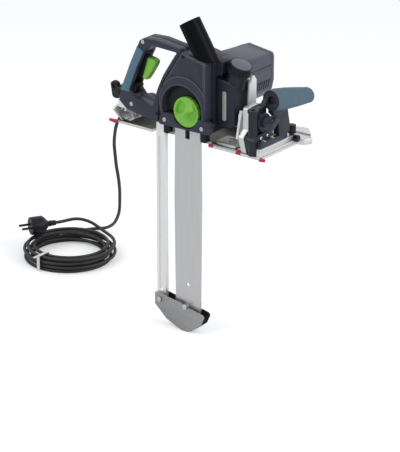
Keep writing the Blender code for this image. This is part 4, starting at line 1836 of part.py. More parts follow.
def build_machine(parent):
    """Every piece that tilts with the bar."""
    housing = build_gear_housing()
    spout, swivel = build_spout()
    cover = build_chain_cover()
    duct = on_top(SWIVEL_X, SPOUT_Y)
    _, up = top_plane()
    for piece in (housing, cover):
        cut(piece, drum("duct", DUCT_R, duct, up, -2 * HOUSING_WALL, OVERRUN))
    lower = build_lower_cover()
    near, far, pad, button, lock_at = build_handle()
    trigger, trigger_at, switch = build_trigger_and_switch()
    motor, cord = build_motor_housing()
    cap = build_end_cap()
    armature, stator, brushes = build_motor_inside()
    spindle, gear, sprocket, spindle_at = build_drive()
    tank, window, oil_cap = build_tank()
    bar, nose = build_bar()
    arm, tip_near, tip_far, bolts = build_arm_and_guards()
    front_segment, rear_segment = build_segments()
    stud = turned("clamp_stud", [
        (CLAMP_STUD_NEAR, 0), (CLAMP_STUD_NEAR, CLAMP_STUD_R),
        (CLAMP_STUD_FAR - CLAMP_STUD_HEAD_LONG, CLAMP_STUD_R),
        (CLAMP_STUD_FAR - CLAMP_STUD_HEAD_LONG, CLAMP_STUD_HEAD_R),
        (CLAMP_STUD_FAR, CLAMP_STUD_HEAD_R), (CLAMP_STUD_FAR, 0)], (STUD_X, 0, STUD_Z), AXIS_Y,
        SMALL_STEPS)
    size = (HANDLE_WIDE, HANDLE_HIGH)
    for spot in spread(HANDLE_SCREW_SHARES, (HANDLE_BACK, HANDLE_LOW), size):
        screw_seat(near, (spot[0], -HANDLE_HALF, spot[1]), -AXIS_Y)
    for spot in spread(COVER_SCREW_SHARES, (BODY_BACK, BODY_LOW), (BODY_WIDE, BODY_HIGH)):
        screw_seat(cover, (spot[0], COVER_NEAR, spot[1]), -AXIS_Y)
    for x in (GUIDE_BLOCK_BACK, GUIDE_BLOCK_FRONT):
        screw_seat(lower, (x + GUIDE_BLOCK_WIDE / 2, LOWER_NEAR, LOWER_LOW + SCREW_LONG), -AXIS_Y)
    gland = build_gland(cord)
    for piece, kind in (
            (housing, "housing"), (cover, "housing"), (lower, "housing"), (near, "housing"),
            (far, "housing"), (pad, "teal"), (switch, "black"), (motor, "motor"), (cap, "motor"),
            (stator, "copper"), (tank, "black"), (window, "window"), (bar, "steel"), (arm, "cast"),
            (tip_near, "guard"), (tip_far, "black"), (front_segment, "grey"),
            (rear_segment, "grey"), (stud, "steel"), (gland, "black"), (build_pump(), "steel")):
        finish(piece, kind, parent)
    for piece in bolts + brushes:
        finish(piece, "steel", parent)
    motor_at = (SPINDLE_X, 0, MOTOR_Z)
    finish(armature, "copper", parent, motor_at)
    for piece in (spindle, gear, sprocket):
        finish(piece, "steel", parent, spindle_at)
    finish(nose, "steel", parent, (0, 0, BAR_NOSE_Z))
    finish(spout, "black", parent, tuple(swivel))
    finish(trigger, "green", parent, trigger_at)
    finish(button, "green", parent, lock_at)
    finish(build_tension_knob(), "green", parent, (STUD_X, 0, STUD_Z))
    finish(oil_cap, "black", parent, FILLER_AT)


def build():
    """The whole saw: two empties carry its zero point into the part's frame."""
    clear_scene()
    parents = []
    for name in ("base", "machine"):
        empty = bpy.data.objects.new(name, None)
        empty.location = (0, -BAR_LEAD, 0)
        bpy.context.scene.collection.objects.link(empty)
        parents.append(empty)
    build_base(parents[0])
    build_machine(parents[1])
    build_cord(parents[0])


build()
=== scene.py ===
# %% [markdown]
# # A carpentry chain saw, dressed for its picture
# The saw's solids come ready made, in metres, with +X forward and +Z up. This lesson keeps the solids whose
# shape is right, gives them eased edges and finishes, with painted light and painted shade in a few of them,
# and works out the rounder pieces again with numpy.

# %% Load the solids and keep their box
import math

import bmesh
import bpy
import numpy as np
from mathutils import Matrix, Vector


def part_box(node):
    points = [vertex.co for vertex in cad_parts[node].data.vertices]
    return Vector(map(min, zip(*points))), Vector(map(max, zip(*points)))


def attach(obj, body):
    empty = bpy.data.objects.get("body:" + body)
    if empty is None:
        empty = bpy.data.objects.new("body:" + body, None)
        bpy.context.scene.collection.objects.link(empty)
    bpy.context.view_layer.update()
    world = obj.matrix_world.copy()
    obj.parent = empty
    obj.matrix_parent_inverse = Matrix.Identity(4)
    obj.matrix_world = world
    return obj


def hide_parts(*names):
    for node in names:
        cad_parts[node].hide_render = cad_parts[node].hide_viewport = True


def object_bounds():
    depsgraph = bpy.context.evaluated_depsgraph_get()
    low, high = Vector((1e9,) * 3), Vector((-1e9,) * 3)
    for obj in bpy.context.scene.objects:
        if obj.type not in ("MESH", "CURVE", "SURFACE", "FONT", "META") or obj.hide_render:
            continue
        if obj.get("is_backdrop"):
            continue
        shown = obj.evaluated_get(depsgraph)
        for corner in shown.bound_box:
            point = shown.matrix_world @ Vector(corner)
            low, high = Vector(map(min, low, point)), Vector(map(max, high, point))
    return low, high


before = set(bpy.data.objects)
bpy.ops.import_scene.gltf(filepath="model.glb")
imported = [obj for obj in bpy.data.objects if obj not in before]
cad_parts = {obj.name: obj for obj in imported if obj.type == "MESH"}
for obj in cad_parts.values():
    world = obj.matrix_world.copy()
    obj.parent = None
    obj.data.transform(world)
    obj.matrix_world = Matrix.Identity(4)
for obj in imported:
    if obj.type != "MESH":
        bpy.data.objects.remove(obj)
cad_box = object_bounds()

# %% [markdown]
# ## The camera
# The photograph was taken from the front right and a little above with a long lens, so upright lines stay
# upright. The camera's place was found by lining up the bar's two ends and the base with the photograph.


# %% Camera
def placed(name, data):
    """A new object with that data, put into the scene."""
    made = bpy.data.objects.new(name, data)
    bpy.context.scene.collection.objects.link(made)
    return made


CAMERA_AT = (2.58157, -3.32183, 1.52922)
AZIMUTH = 38.0
ELEVATION = 22.0
LENS_MM = 207.08
SENSOR_MM = 36.0
SEES_AS_FAR_AS = 40.0
camera_data = bpy.data.cameras.new("camera")
camera_data.lens = LENS_MM
camera_data.sensor_width = SENSOR_MM
camera_data.clip_end = SEES_AS_FAR_AS
camera = placed("camera", camera_data)
camera.location = CAMERA_AT
camera.rotation_euler = (math.radians(90 - ELEVATION), 0.0, math.radians(AZIMUTH))
bpy.context.scene.camera = camera
print("camera", round(Vector(CAMERA_AT).length, 2), "m away")

# %% [markdown]
# ## Colour and nodes
# Screens write colour on a curve, while light adds up on a straight line, so each hex value is made linear
# once, here. Every material is a small tree of nodes, and one function adds a node with settings and links.
# The others below it are short names for what the trees use most: one sum, one mix, the shader's inputs.

# %% Helpers for materials
MM = 0.001
BAR_LEAD = 50 * MM             # the bar's middle plane is y = -BAR_LEAD
WHITE = (1.0, 1.0, 1.0, 1.0)


def linear(code):
    """Hex sRGB to linear: c/12.92 below 0.04045, and ((c + 0.055)/1.055)^2.4 above it."""
    channels = np.array([int(code[at:at + 2], 16) for at in (1, 3, 5)]) / 255
    straight = np.where(channels <= 0.04045, channels / 12.92, ((channels + 0.055) / 1.055) ** 2.4)
    return (*straight.tolist(), 1.0)


def add_node(tree, kind, inputs=None, **settings):
    """A node of that kind: its settings are set, and each input is linked to a socket or given a value."""
    made = tree.nodes.new(kind)
    for key, value in settings.items():
        setattr(made, key, value)
    for key, value in (inputs or {}).items():
        if isinstance(value, bpy.types.NodeSocket):
            tree.links.new(value, made.inputs[key])
        else:
            made.inputs[key].default_value = value
    return made


def maths(tree, operation, *values):
    """What one Math node makes of numbers and sockets."""
    return add_node(tree, "ShaderNodeMath", dict(enumerate(values)), operation=operation).outputs[0]


def mixed(tree, share, first, second):
    """The first colour where the share is 0, the second where it is 1."""
    return add_node(tree, "ShaderNodeMix", {0: share, 6: first, 7: second}, data_type="RGBA").outputs[2]


def shader_inputs(material):
    """The inputs of the material's shader."""
    return material.node_tree.nodes["Principled BSDF"].inputs


print("linear white:", linear("#FFFFFF"))

# %% [markdown]
# ## A surface with grain
# Moulds are spark-eroded, castings are blasted and sheet is ground, so nearly every skin here is one colour
# that wanders a little and a fine bump. Two noises do both: a wide one for the colour and a fine one for the
# relief. A pattern with `run` below 1 on one axis is drawn out along it, which is how grinding looks.

# %% The grained material
ROUGH_SWING = 0.06             # the roughness wanders this far to either side


def grained(name, light, dark, roughness, grain_mm, relief_mm, metallic=0.0, cloud_mm=14.0,
            run=(1.0, 1.0, 1.0), strength=0.5, gloss_level=0.5):
    """Colour mixes dark and light by a noise cloud_mm wide, and height is a noise grain_mm wide."""
    material = bpy.data.materials.new(name)
    material.use_nodes = True
    tree = material.node_tree
    inputs = shader_inputs(material)
    place = add_node(tree, "ShaderNodeTexCoord").outputs["Object"]
    drawn = add_node(tree, "ShaderNodeMapping", {"Vector": place, "Scale": run}).outputs["Vector"]
    cloud, grain = (
        add_node(tree, "ShaderNodeTexNoise",
                 {"Vector": drawn, "Scale": 1 / (wide_mm * MM), "Detail": detail}).outputs[0]
        for wide_mm, detail in ((cloud_mm, 3.0), (grain_mm, 2.0)))
    gloss = add_node(tree, "ShaderNodeMapRange",
                     {0: cloud, 3: roughness - ROUGH_SWING, 4: roughness + ROUGH_SWING})
    bump = add_node(tree, "ShaderNodeBump",
                    {"Height": grain, "Distance": relief_mm * MM, "Strength": strength})
    tree.links.new(mixed(tree, cloud, linear(dark), linear(light)), inputs["Base Color"])
    tree.links.new(gloss.outputs[0], inputs["Roughness"])
    tree.links.new(bump.outputs[0], inputs["Normal"])
    inputs["Metallic"].default_value = metallic
    inputs["Specular IOR Level"].default_value = gloss_level
    return material


print("grain is drawn in millimetres")

# %% [markdown]
# ## The finishes
# Each finish is named for its real material and how it was made, and for the painted light and painted shade
# in a few of them. The plastics are glass-filled nylon from an eroded mould: dark blue-grey with a soft
# sheen, in a lighter copy that paints light and darker copies that paint shade. The castings are blasted
# aluminium, the bar is ground steel.


# %% Plastics and rubber
def moulded_nylon(name):
    """Glass-filled nylon: the eroded mould leaves a grain near 0.3 mm, drawn at 0.7 mm so that it shows."""
    return grained(name, "#363948", "#2E313E", 0.40, 0.7, 0.06, gloss_level=0.25)


housing_nylon = moulded_nylon("glass_filled_nylon_moulded")
# The motor's nylon is a lighter copy of the housing's: painted light on the motor's lit side and top.
motor_nylon_painted_light = grained("glass_filled_nylon_motor_painted_light", "#505362", "#454855", 0.44, 0.8, 0.07, gloss_level=0.3)
# Black nylon is the own colour of the plug, gland, switch, cap and small knobs; on the rear clamp parts it is
# painted shade over the housing's blue-grey.
black_nylon = grained("black_nylon_moulded_and_painted_shade", "#1B1C25", "#13141B", 0.38, 0.7, 0.05, gloss_level=0.22)
# A darker copy of the housing nylon: painted shade on the oil tank, the gear housing and the front clamp
# parts.
nylon_painted_shade = grained("glass_filled_nylon_painted_shade", "#252733", "#1D1F29", 0.36, 0.9, 0.05, gloss_level=0.3)
spout_nylon = grained("black_nylon_smooth_moulded", "#0D0E14", "#08090D", 0.34, 0.9, 0.04,
                      gloss_level=0.06)
# ABS from a polished mould: a bright coat of its own over a colour that hardly wanders.
green_abs = grained("green_abs_polished_mould", "#84CB46", "#74BA3A", 0.32, 1.2, 0.02, cloud_mm=9.0)
red_abs = grained("red_abs_moulded", "#BC1630", "#A50F26", 0.36, 1.0, 0.03)
# Grey ABS: the oil cap's dome, and on the cover beads and handle ribs a lighter grey that is painted
# highlight.
grey_abs_with_painted_highlight = grained("grey_abs_moulded", "#5C5E6A", "#50525D", 0.36, 0.7, 0.05)
# Thermoplastic rubber: soft, matt and velvety, with a sheen at grazing angles.
soft_rubber = grained("thermoplastic_rubber_moulded", "#567889", "#486879", 0.66, 0.6, 0.07,
                      cloud_mm=20.0, gloss_level=0.3)
shader_inputs(soft_rubber)["Sheen Weight"].default_value = 0.25
grip_rubber = grained("thermoplastic_rubber_on_grip", "#526875", "#475C69", 0.60, 0.6, 0.07,
                      cloud_mm=20.0, gloss_level=0.25)
cord_rubber = grained("rubber_cable_sheath", "#1E1E1E", "#151515", 0.50, 1.1, 0.06)
tie_nylon = grained("natural_nylon_strip", "#ECECEA", "#DEDEDA", 0.40, 1.5, 0.04)
print("plastics and rubber: 12 finishes")

# %% Metals
# Die-cast aluminium, glass-bead blasted: bright, with dimples about 0.5 mm wide, drawn at 0.9 mm.
blasted_casting = grained("aluminium_casting_blasted", "#E6E6E6", "#BDBDBD", 0.40, 0.9, 0.12,
                          metallic=0.85, cloud_mm=2.2, strength=0.6)
# Extruded and anodised aluminium: even and satin, with faint lines along the press direction Z.
anodised_bar = grained("aluminium_extrusion_anodised", "#F2F2F2", "#E6E6E6", 0.34, 1.0, 0.03,
                       metallic=0.75, cloud_mm=3.0, run=(3.0, 3.0, 0.04))
# Ground bar steel: fine scratches along the bar, so the pattern runs long in Z.
ground_steel = grained("bar_steel_ground", "#CFCFCF", "#BBBBBB", 0.36, 0.6, 0.03,
                       metallic=0.8, cloud_mm=1.6, run=(1.0, 1.0, 0.02))
guard_sheet = grained("steel_sheet_blasted", "#ABABAB", "#8E8E8E", 0.44, 1.0, 0.08,
                      metallic=0.8, cloud_mm=5.0)
# The far guard plate is near black: painted shade for the gap between the two guard plates, with a fine grain
# drawn at 1.2 mm.
far_guard_painted_shade = grained("steel_sheet_black_painted_shade", "#1C1C1E", "#141416", 0.46, 1.2, 0.06,
                     gloss_level=0.3)
turned_steel = grained("turned_steel_zinc_plated", "#CFCFCF", "#B4B4B4", 0.26, 0.8, 0.02, metallic=1.0)
stator_iron = grained("stator_lamination_iron", "#7C7C80", "#606064", 0.42, 0.5, 0.06,
                      metallic=0.9, run=(0.05, 6.0, 0.05))
copper_wire = grained("enamelled_copper_winding", "#B4703A", "#8E5229", 0.34, 0.8, 0.15,
                      metallic=0.85, run=(2.0, 0.5, 2.0))
drawn_brass = grained("drawn_brass", "#B9975E", "#A5834C", 0.30, 0.8, 0.02, metallic=1.0)
segment_coat = grained("casting_light_grey_coat", "#F2F2F2", "#E4E4E4", 0.42, 0.9, 0.06, metallic=0.1)
print("metals: 10 finishes")

# %% [markdown]
# ## The sight window and the two-tone pieces
# The window is a strip of frosted nylon with the oil behind it, so light enters it a little. Four pieces have
# two colours, and a mask on place or on facing chooses between them:
# - the splinter guard is one clear strip with red ends, a step on the distance from its middle;
# - the base is coated on top and bare where it was milled: its sides, its sole and its raised pad;
# - the lower cover is blue-grey nylon, but the two chain guides under it are black;
# - the chain cover's dish is near black, painted shade in its recess, where x^2 + z^2 from the dish's middle
#   is below r^2.


# %% Helpers for the masks
def axis_of(material, kind, axis):
    """X, Y or Z of a coordinate: Object is the place on the saw, Normal the way that the skin faces."""
    place = add_node(material.node_tree, "ShaderNodeTexCoord").outputs[kind]
    return add_node(material.node_tree, "ShaderNodeSeparateXYZ", {0: place}).outputs[axis]


def second_colour(material, mask, code):
    """The material keeps its colour where the mask is 0 and takes another where it is 1."""
    target = shader_inputs(material)["Base Color"]
    own = target.links[0].from_socket
    material.node_tree.links.new(mixed(material.node_tree, mask, own, linear(code)), target)


print("masks lie on Object or Normal coordinates")

# %% Window and splinter guard
frosted_window = grained("frosted_nylon_window", "#B4B4B0", "#8E8E8A", 0.24, 1.5, 0.03, cloud_mm=30.0)
shader_inputs(frosted_window)["Subsurface Weight"].default_value = 0.2
shader_inputs(frosted_window)["Subsurface Scale"].default_value = 2 * MM

RED_END_SHARE = 0.30
guard_low, guard_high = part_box("splinter_guard")
guard_middle = (guard_low.x + guard_high.x) / 2
guard_half = (guard_high.x - guard_low.x) / 2
clear_guard = grained("polycarbonate_strip_with_red_ends", "#DDE2DF", "#C9D0CC", 0.20, 1.5, 0.02)
tree = clear_guard.node_tree
off_middle = maths(tree, "SUBTRACT", axis_of(clear_guard, "Object", "X"), guard_middle)
red_end = maths(tree, "GREATER_THAN", maths(tree, "ABSOLUTE", off_middle), guard_half * (1 - RED_END_SHARE))
second_colour(clear_guard, red_end, "#C0152E")
print("guard strip", round(2 * guard_half / MM), "mm long")

# %% Base, lower cover and chain cover
PAD_TOP = 9.0 * MM
PAD_ROOM = 0.4 * MM
FACES_UP = 0.8
base_skin = grained("base_coated_on_top_bare_at_sides", "#4A4A40", "#3A3A32", 0.40, 1.2, 0.10,
                    metallic=0.6, cloud_mm=5.0)
tree = base_skin.node_tree
off_top = maths(tree, "LESS_THAN", axis_of(base_skin, "Normal", "Z"), FACES_UP)
on_pad = maths(tree, "COMPARE", axis_of(base_skin, "Object", "Z"), PAD_TOP, PAD_ROOM)
second_colour(base_skin, maths(tree, "MAXIMUM", off_top, on_pad), "#D6D6D4")

COVER_EDGE_Z = 25.2 * MM
guide_nylon = moulded_nylon("nylon_cover_with_black_guides")
below = maths(guide_nylon.node_tree, "LESS_THAN", axis_of(guide_nylon, "Object", "Z"), COVER_EDGE_Z)
second_colour(guide_nylon, below, "#0B0B11")

# The dish round the knob is painted near black: painted shade in the recess behind the knob.
DISH_X = -1.0 * MM
DISH_Z = 62.0 * MM
DISH_EDGE_R = 42.7 * MM
cover_nylon = moulded_nylon("nylon_cover_with_painted_dish_shade")
tree = cover_nylon.node_tree
squares = [maths(tree, "POWER", maths(tree, "SUBTRACT", axis_of(cover_nylon, "Object", axis), middle), 2.0)
           for axis, middle in (("X", DISH_X), ("Z", DISH_Z))]
dish_painted_shade = maths(tree, "LESS_THAN", maths(tree, "ADD", *squares), DISH_EDGE_R ** 2)
second_colour(cover_nylon, dish_painted_shade, "#0E0F14")
print("two-tone pieces: 4")

# %% [markdown]
# ## Eased edges on the solids
# A moulding has no edge that is truly sharp: each one is eased by a few tenths of a millimetre, and that
# thin rim is what catches the light. The solids are loose triangles, so a Weld joins them, a planar Decimate
# turns flat areas back into single faces, and a Bevel rounds what is still sharp.

# %% The edge helpers
# Flat faces with several holes, such as the one round the motor's vents, are left in triangles: as one face
# with holes they would fold.
KEEP_TRIANGLES = ("motor_housing", "gear_housing")


def shade(mesh, smooth):
    """All faces of the mesh smooth, or all flat."""
    mesh.polygons.foreach_set("use_smooth", np.full(len(mesh.polygons), smooth))


def rounded(thing, width_mm, segments, from_degrees):
    """A Bevel that rounds each edge sharper than the angle."""
    bevel = thing.modifiers.new("bevel", "BEVEL")
    bevel.width = width_mm * MM
    bevel.segments = segments
    bevel.limit_method = "ANGLE"
    bevel.angle_limit = math.radians(from_degrees)
    bevel.harden_normals = True
    return bevel


def eased(name, material, width_mm):
    """The solid keeps its own mesh; its modifiers round the edges by width_mm and smooth the shading."""
    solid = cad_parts[name]
    solid.data.materials.clear()
    solid.data.materials.append(material)
    shade(solid.data, True)
    weld = solid.modifiers.new("weld", "WELD")
    weld.merge_threshold = 0.004 * MM
    if name not in KEEP_TRIANGLES:
        flat = solid.modifiers.new("flat", "DECIMATE")
        flat.decimate_type = "DISSOLVE"
        flat.angle_limit = math.radians(0.6)
    rounded(solid, width_mm, 2, 30).miter_outer = "MITER_ARC"


# %% Dress the rigid solids
DRESS = [
    (housing_nylon, 0.7, "handle_shell_near handle_shell_far front_beam"),
    (cover_nylon, 0.7, "chain_cover"),
    # The gear housing takes the darker nylon: painted shade on its side under the spout.
    (nylon_painted_shade, 0.7, "gear_housing"),
    (guide_nylon, 0.6, "lower_cover"),
    # The motor takes the lighter nylon: painted light on its lit side and top.
    (motor_nylon_painted_light, 1.0, "motor_housing motor_end_cap"),
    # The front clamp parts take the darker nylon: painted shade over the housing's blue-grey.
    (nylon_painted_shade, 0.5, "front_clamp_housing front_handle_frame"),
    (housing_nylon, 0.5, "front_clamp_knob"),
    # The rear clamp parts take black nylon: painted shade over the housing's blue-grey.
    (black_nylon, 0.5, "rear_clamp_housing rear_clamp_knob"),
    (black_nylon, 0.4, "guide_clamp_knob_front guide_clamp_knob_rear rail_clamp_knob"),
    (black_nylon, 0.4, "cord_gland mains_plug switch"),
    (green_abs, 0.6, "lock_off"),
    (red_abs, 0.3, "cut_pointer_front cut_pointer_rear"),
    (blasted_casting, 0.4, "front_bracket front_rail rail_adapter rear_bracket"),
    (segment_coat, 0.3, "front_tilt_segment rear_tilt_segment"),
    (base_skin, 0.4, "base_plate"),
    (clear_guard, 0.2, "splinter_guard"),
    (frosted_window, 0.3, "oil_window"),
    (anodised_bar, 0.3, "support_arm"),
    (ground_steel, 0.15, "nose_sprocket"),
    (guard_sheet, 0.2, "tip_guard"),
    # The far guard plate is near black: painted shade in the gap between the plates.
    (far_guard_painted_shade, 0.2, "tip_guard_far"),
    (turned_steel, 0.3, "front_clamp_stud rear_clamp_stud guard_bolt_arm guard_bolt_nose clamp_stud"),
    (turned_steel, 0.15, "reduction_gear spindle drive_sprocket"),
    (stator_iron, 0.3, "stator"),
    (copper_wire, 0.2, "armature"),
    (drawn_brass, 0.2, "brush_holder_back brush_holder_front"),
    (blasted_casting, 0.3, "oil_pump"),
    (soft_rubber, 0.6, "rear_grip"),
    (tie_nylon, 0.2, "cable_tie"),
]
dressed = 0
for material, width, names in DRESS:
    for name in names.split():
        eased(name, material, width)
        dressed += 1
print("solids dressed:", dressed)

# %% [markdown]
# ## Surfaces from formulas
# A turned piece is a profile of heights and radii, swept round an axis. With a whole grid of angles at hand,
# flutes and wings are a change to the heights or the radii, so one function serves knob, cap, grip and screw.


# %% Sweep a profile round an axis
def unit(vector):
    """The vector over its length."""
    vector = np.asarray(vector, float)
    return vector / np.linalg.norm(vector)


def swept_round(profile, at, along, first, around, shape=None):
    """Points at + along*h + r*(first*cos t + second*sin t) for each (h, r) of the profile and each angle t.

    shape(h, r, t) may return new heights and radii for the whole grid.
    """
    along, first = unit(along), unit(first)
    second = np.cross(along, first)
    turn = np.linspace(0, 2 * np.pi, around, endpoint=False)[None, :]
    high = np.asarray(profile, float)[:, :1] + 0 * turn
    wide = np.asarray(profile, float)[:, 1:] + 0 * turn
    turn = turn + 0 * high
    if shape is not None:
        high, wide = shape(high, wide, turn)
    return (np.asarray(at, float) + high[..., None] * along
            + (wide * np.cos(turn))[..., None] * first + (wide * np.sin(turn))[..., None] * second)


def grid_faces(rows, columns, offset=0):
    """Quads of a grid whose columns close on themselves."""
    row, column = np.meshgrid(np.arange(rows - 1), np.arange(columns), indexing="ij")
    beside = (column + 1) % columns
    quads = np.stack([row * columns + column, row * columns + beside,
                      (row + 1) * columns + beside, (row + 1) * columns + column], axis=-1)
    return quads.reshape(-1, 4) + offset


def new_piece(name, points, faces, material, body, smooth_limit):
    """A mesh on a body: doubles merged, faces turned outwards, edges sharp above the limit in degrees."""
    mesh = bpy.data.meshes.new(name)
    mesh.from_pydata(points.tolist(), [], faces)
    work = bmesh.new()
    work.from_mesh(mesh)
    bmesh.ops.remove_doubles(work, verts=work.verts, dist=0.001 * MM)
    bmesh.ops.dissolve_degenerate(work, edges=work.edges, dist=0.0005 * MM)
    bmesh.ops.recalc_face_normals(work, faces=work.faces)
    work.to_mesh(mesh)
    work.free()
    shade(mesh, True)
    mesh.set_sharp_from_angle(angle=math.radians(smooth_limit))
    mesh.materials.append(material)
    made = placed(name, mesh)
    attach(made, body)
    return made


def piece_from_grids(name, grids, material, body, smooth_limit=40.0):
    """One piece from several closed grids of points."""
    points = np.concatenate([grid.reshape(-1, 3) for grid in grids])
    starts = np.cumsum([0] + [grid.shape[0] * grid.shape[1] for grid in grids])
    faces = np.concatenate([grid_faces(grid.shape[0], grid.shape[1], start)
                            for grid, start in zip(grids, starts)])
    return new_piece(name, points, faces.tolist(), material, body, smooth_limit)


def step_up(value, width):
    """0 below zero, 1 above the width, and 3s^2 - 2s^3 between."""
    share = np.clip(value / width, 0, 1)
    return share * share * (3 - 2 * share)


def arc_points(centre_high, centre_wide, radius, first, last):
    """Six profile points on an arc from one angle to the other, in degrees."""
    angle = np.radians(np.linspace(first, last, 6))
    return np.column_stack([centre_high + radius * np.sin(angle), centre_wide + radius * np.cos(angle)])


print("a grid of 4 by 8 has", len(grid_faces(4, 8)), "faces")

# %% [markdown]
# ## The green clamp knob
# The knob clamps the cover and tensions the chain. It is a disc with a notched rim and a twisted wing: a
# crest across the middle that falls steeply into a finger hollow on one side and gently on the other. The
# height over the disc is a roof across the crest, minus the hollow, faded out towards the rim.

# %% The knob's sizes and shape
KNOB_AT = (0.005, -0.0559, 0.058)
KNOB_R = 27.0 * MM
KNOB_FACE = 7.6 * MM
KNOB_EDGE = 2.0 * MM
KNOB_BORE_R = 4.3 * MM
KNOB_BORE_DEEP = 5.1 * MM
WING_TURN = math.radians(25)
WING_HIGH = 6.0 * MM
WING_CREST = 1.08              # above 1, so the crest has a little width
WING_REACH = 24.5 * MM
WING_FADE = 4.0 * MM
ACROSS_SHARE = 0.6             # in the wing's fade, a step across counts for less than one along it
STEEP_HALF = 4.0 * MM
GENTLE_HALF = 15.0 * MM
SWAP_SOFT = 4.0 * MM
HOLLOW_DEEP = 5.0 * MM
HOLLOW_REACH = KNOB_R - 3.5 * MM
HOLLOW_FADE = 5.0 * MM
HOLLOW_FROM = 2.0 * MM
HOLLOW_WALL = 3.0 * MM
NOTCHES = 18
NOTCH_DEEP = 0.7 * MM
HAIR = 0.01 * MM


def knob_shape(high, wide, turn):
    """A twisted wing: its crest drops steeply on one side and gently on the other, and they swap at u = 0.

    Height = face + WING_HIGH * (WING_CREST - v / width) beside the crest, minus a hollow on the steep side,
    with u along the wing and v across it; the rim's radius loses a notch NOTCHES times round.
    """
    along_wing = wide * np.cos(turn)
    across = wide * np.sin(turn)
    on_top = (high > KNOB_FACE - HAIR) & (wide < KNOB_R - KNOB_EDGE + HAIR)
    steep = 0.5 - 0.5 * np.tanh(along_wing / SWAP_SOFT) * np.sign(across)
    width = GENTLE_HALF + (STEEP_HALF - GENTLE_HALF) * steep
    wing = WING_HIGH * np.clip(WING_CREST - np.abs(across) / width, 0, 1)
    wing = wing * step_up(WING_REACH - np.hypot(along_wing, ACROSS_SHARE * across), WING_FADE)
    hollow = HOLLOW_DEEP * steep * step_up(HOLLOW_REACH - wide, HOLLOW_FADE)
    hollow = hollow * step_up(np.abs(across) - HOLLOW_FROM, HOLLOW_WALL)
    notch = NOTCH_DEEP * (0.5 + 0.5 * np.cos(NOTCHES * turn)) ** 6
    rim = wide > KNOB_R - 0.5 * MM
    return high + np.where(on_top, wing - hollow, 0.0), wide - np.where(rim, notch, 0.0)


# %% Make the knob
face_rings = np.column_stack([np.full(64, KNOB_FACE), np.linspace(0, KNOB_R - KNOB_EDGE, 64)])
knob_profile = np.concatenate([
    face_rings, arc_points(KNOB_FACE - KNOB_EDGE, KNOB_R - KNOB_EDGE, KNOB_EDGE, 75, 0),
    [(0.4 * MM, KNOB_R), (0.0, KNOB_R - 0.4 * MM), (0.0, KNOB_BORE_R), (KNOB_BORE_DEEP, KNOB_BORE_R),
     (KNOB_BORE_DEEP, 0.0)]])
wing_line = (math.cos(WING_TURN), 0.0, math.sin(WING_TURN))
knob = piece_from_grids(
    "clamp_knob_winged", [swept_round(knob_profile, KNOB_AT, (0, -1, 0), wing_line, 216, knob_shape)],
    green_abs, "tension_knob")
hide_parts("tension_knob")
print("knob:", len(knob.data.polygons), "faces")

# %% [markdown]
# ## The oil cap
# A screw cap is fluted so that oily fingers hold it, and its top is domed with a rim round it. The flutes are
# a cosine of 20 times the angle, squared so that the ribs are wider than the grooves.

# %% The oil cap
FILLER_LEAN = math.radians(21)
FILLER_AT = np.array((0.0775, -0.020, 0.1165))
filler_up = np.array((math.sin(FILLER_LEAN), 0.0, math.cos(FILLER_LEAN)))
CAP_R = 19.5 * MM
CAP_LOW = 18.3 * MM
CAP_TOP = 36.0 * MM
CAP_ROOF = 32.5 * MM
CAP_BORE = 12.8 * MM
FLUTES = 20
FLUTE_DEEP = 1.5 * MM
DOME_R = CAP_R - 1.9 * MM
DOME_HIGH = 1.5 * MM


def cap_shape(high, wide, turn):
    """The side wall's radius loses FLUTE_DEEP * (1/2 + 1/2 cos(FLUTES t))^2."""
    groove = FLUTE_DEEP * (0.5 + 0.5 * np.cos(FLUTES * turn)) ** 2
    wall = (wide > CAP_R - 0.9 * MM) & (high < CAP_TOP - 4.2 * MM) & (high > CAP_LOW + 2.0 * MM)
    return high, wide - np.where(wall, groove, 0.0)


cap_profile = np.concatenate([
    [(CAP_ROOF, 0.0), (CAP_ROOF, CAP_BORE), (CAP_LOW, CAP_BORE), (CAP_LOW, CAP_R - 0.5 * MM),
     (CAP_LOW + 0.5 * MM, CAP_R), (CAP_LOW + 1.6 * MM, CAP_R)],
    np.column_stack([np.linspace(CAP_LOW + 2.4 * MM, CAP_TOP - 4.6 * MM, 8), np.full(8, CAP_R)]),
    [(CAP_TOP - 4.0 * MM, CAP_R), (CAP_TOP - 2.0 * MM, CAP_R)],
    arc_points(CAP_TOP - 1.0 * MM, CAP_R - 1.0 * MM, 1.0 * MM, 0, 90),
    [(CAP_TOP, CAP_R - 1.4 * MM), (CAP_TOP - 0.6 * MM, CAP_R - 1.6 * MM), (CAP_TOP - 0.6 * MM, 0.0)]])
oil_cap = piece_from_grids(
    "oil_cap_fluted", [swept_round(cap_profile, FILLER_AT, filler_up, (0, 1, 0), 192, cap_shape)],
    black_nylon, "oil_cap")
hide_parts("oil_cap")
dome_ring = np.linspace(1, 0, 16)
dome_profile = np.concatenate([
    [(CAP_TOP - 0.5 * MM, 0.0), (CAP_TOP - 0.5 * MM, DOME_R)],
    np.column_stack([CAP_TOP + DOME_HIGH * (1 - dome_ring ** 2), DOME_R * dome_ring])])
piece_from_grids("oil_cap_dome", [swept_round(dome_profile, FILLER_AT, filler_up, (0, 1, 0), 96)],
                 grey_abs_with_painted_highlight, "oil_cap")
print("cap:", len(oil_cap.data.polygons), "faces")

# %% [markdown]
# ## The dust spout
# The spout is one moulding: a round foot that swivels on the housing's top, and a tube that leans back from
# it. Its rings all share one set of angles, so the foot's level rings turn into the tube's slanted ones, and
# the same grid goes back down inside as the bore.

# %% The dust spout
SPOUT_FOOT = np.array((0.0373, -0.047, 0.15729))
SWIVEL_AT = np.array((0.034, -0.047, 0.157937))
SPOUT_LEAN = math.radians(43.5)
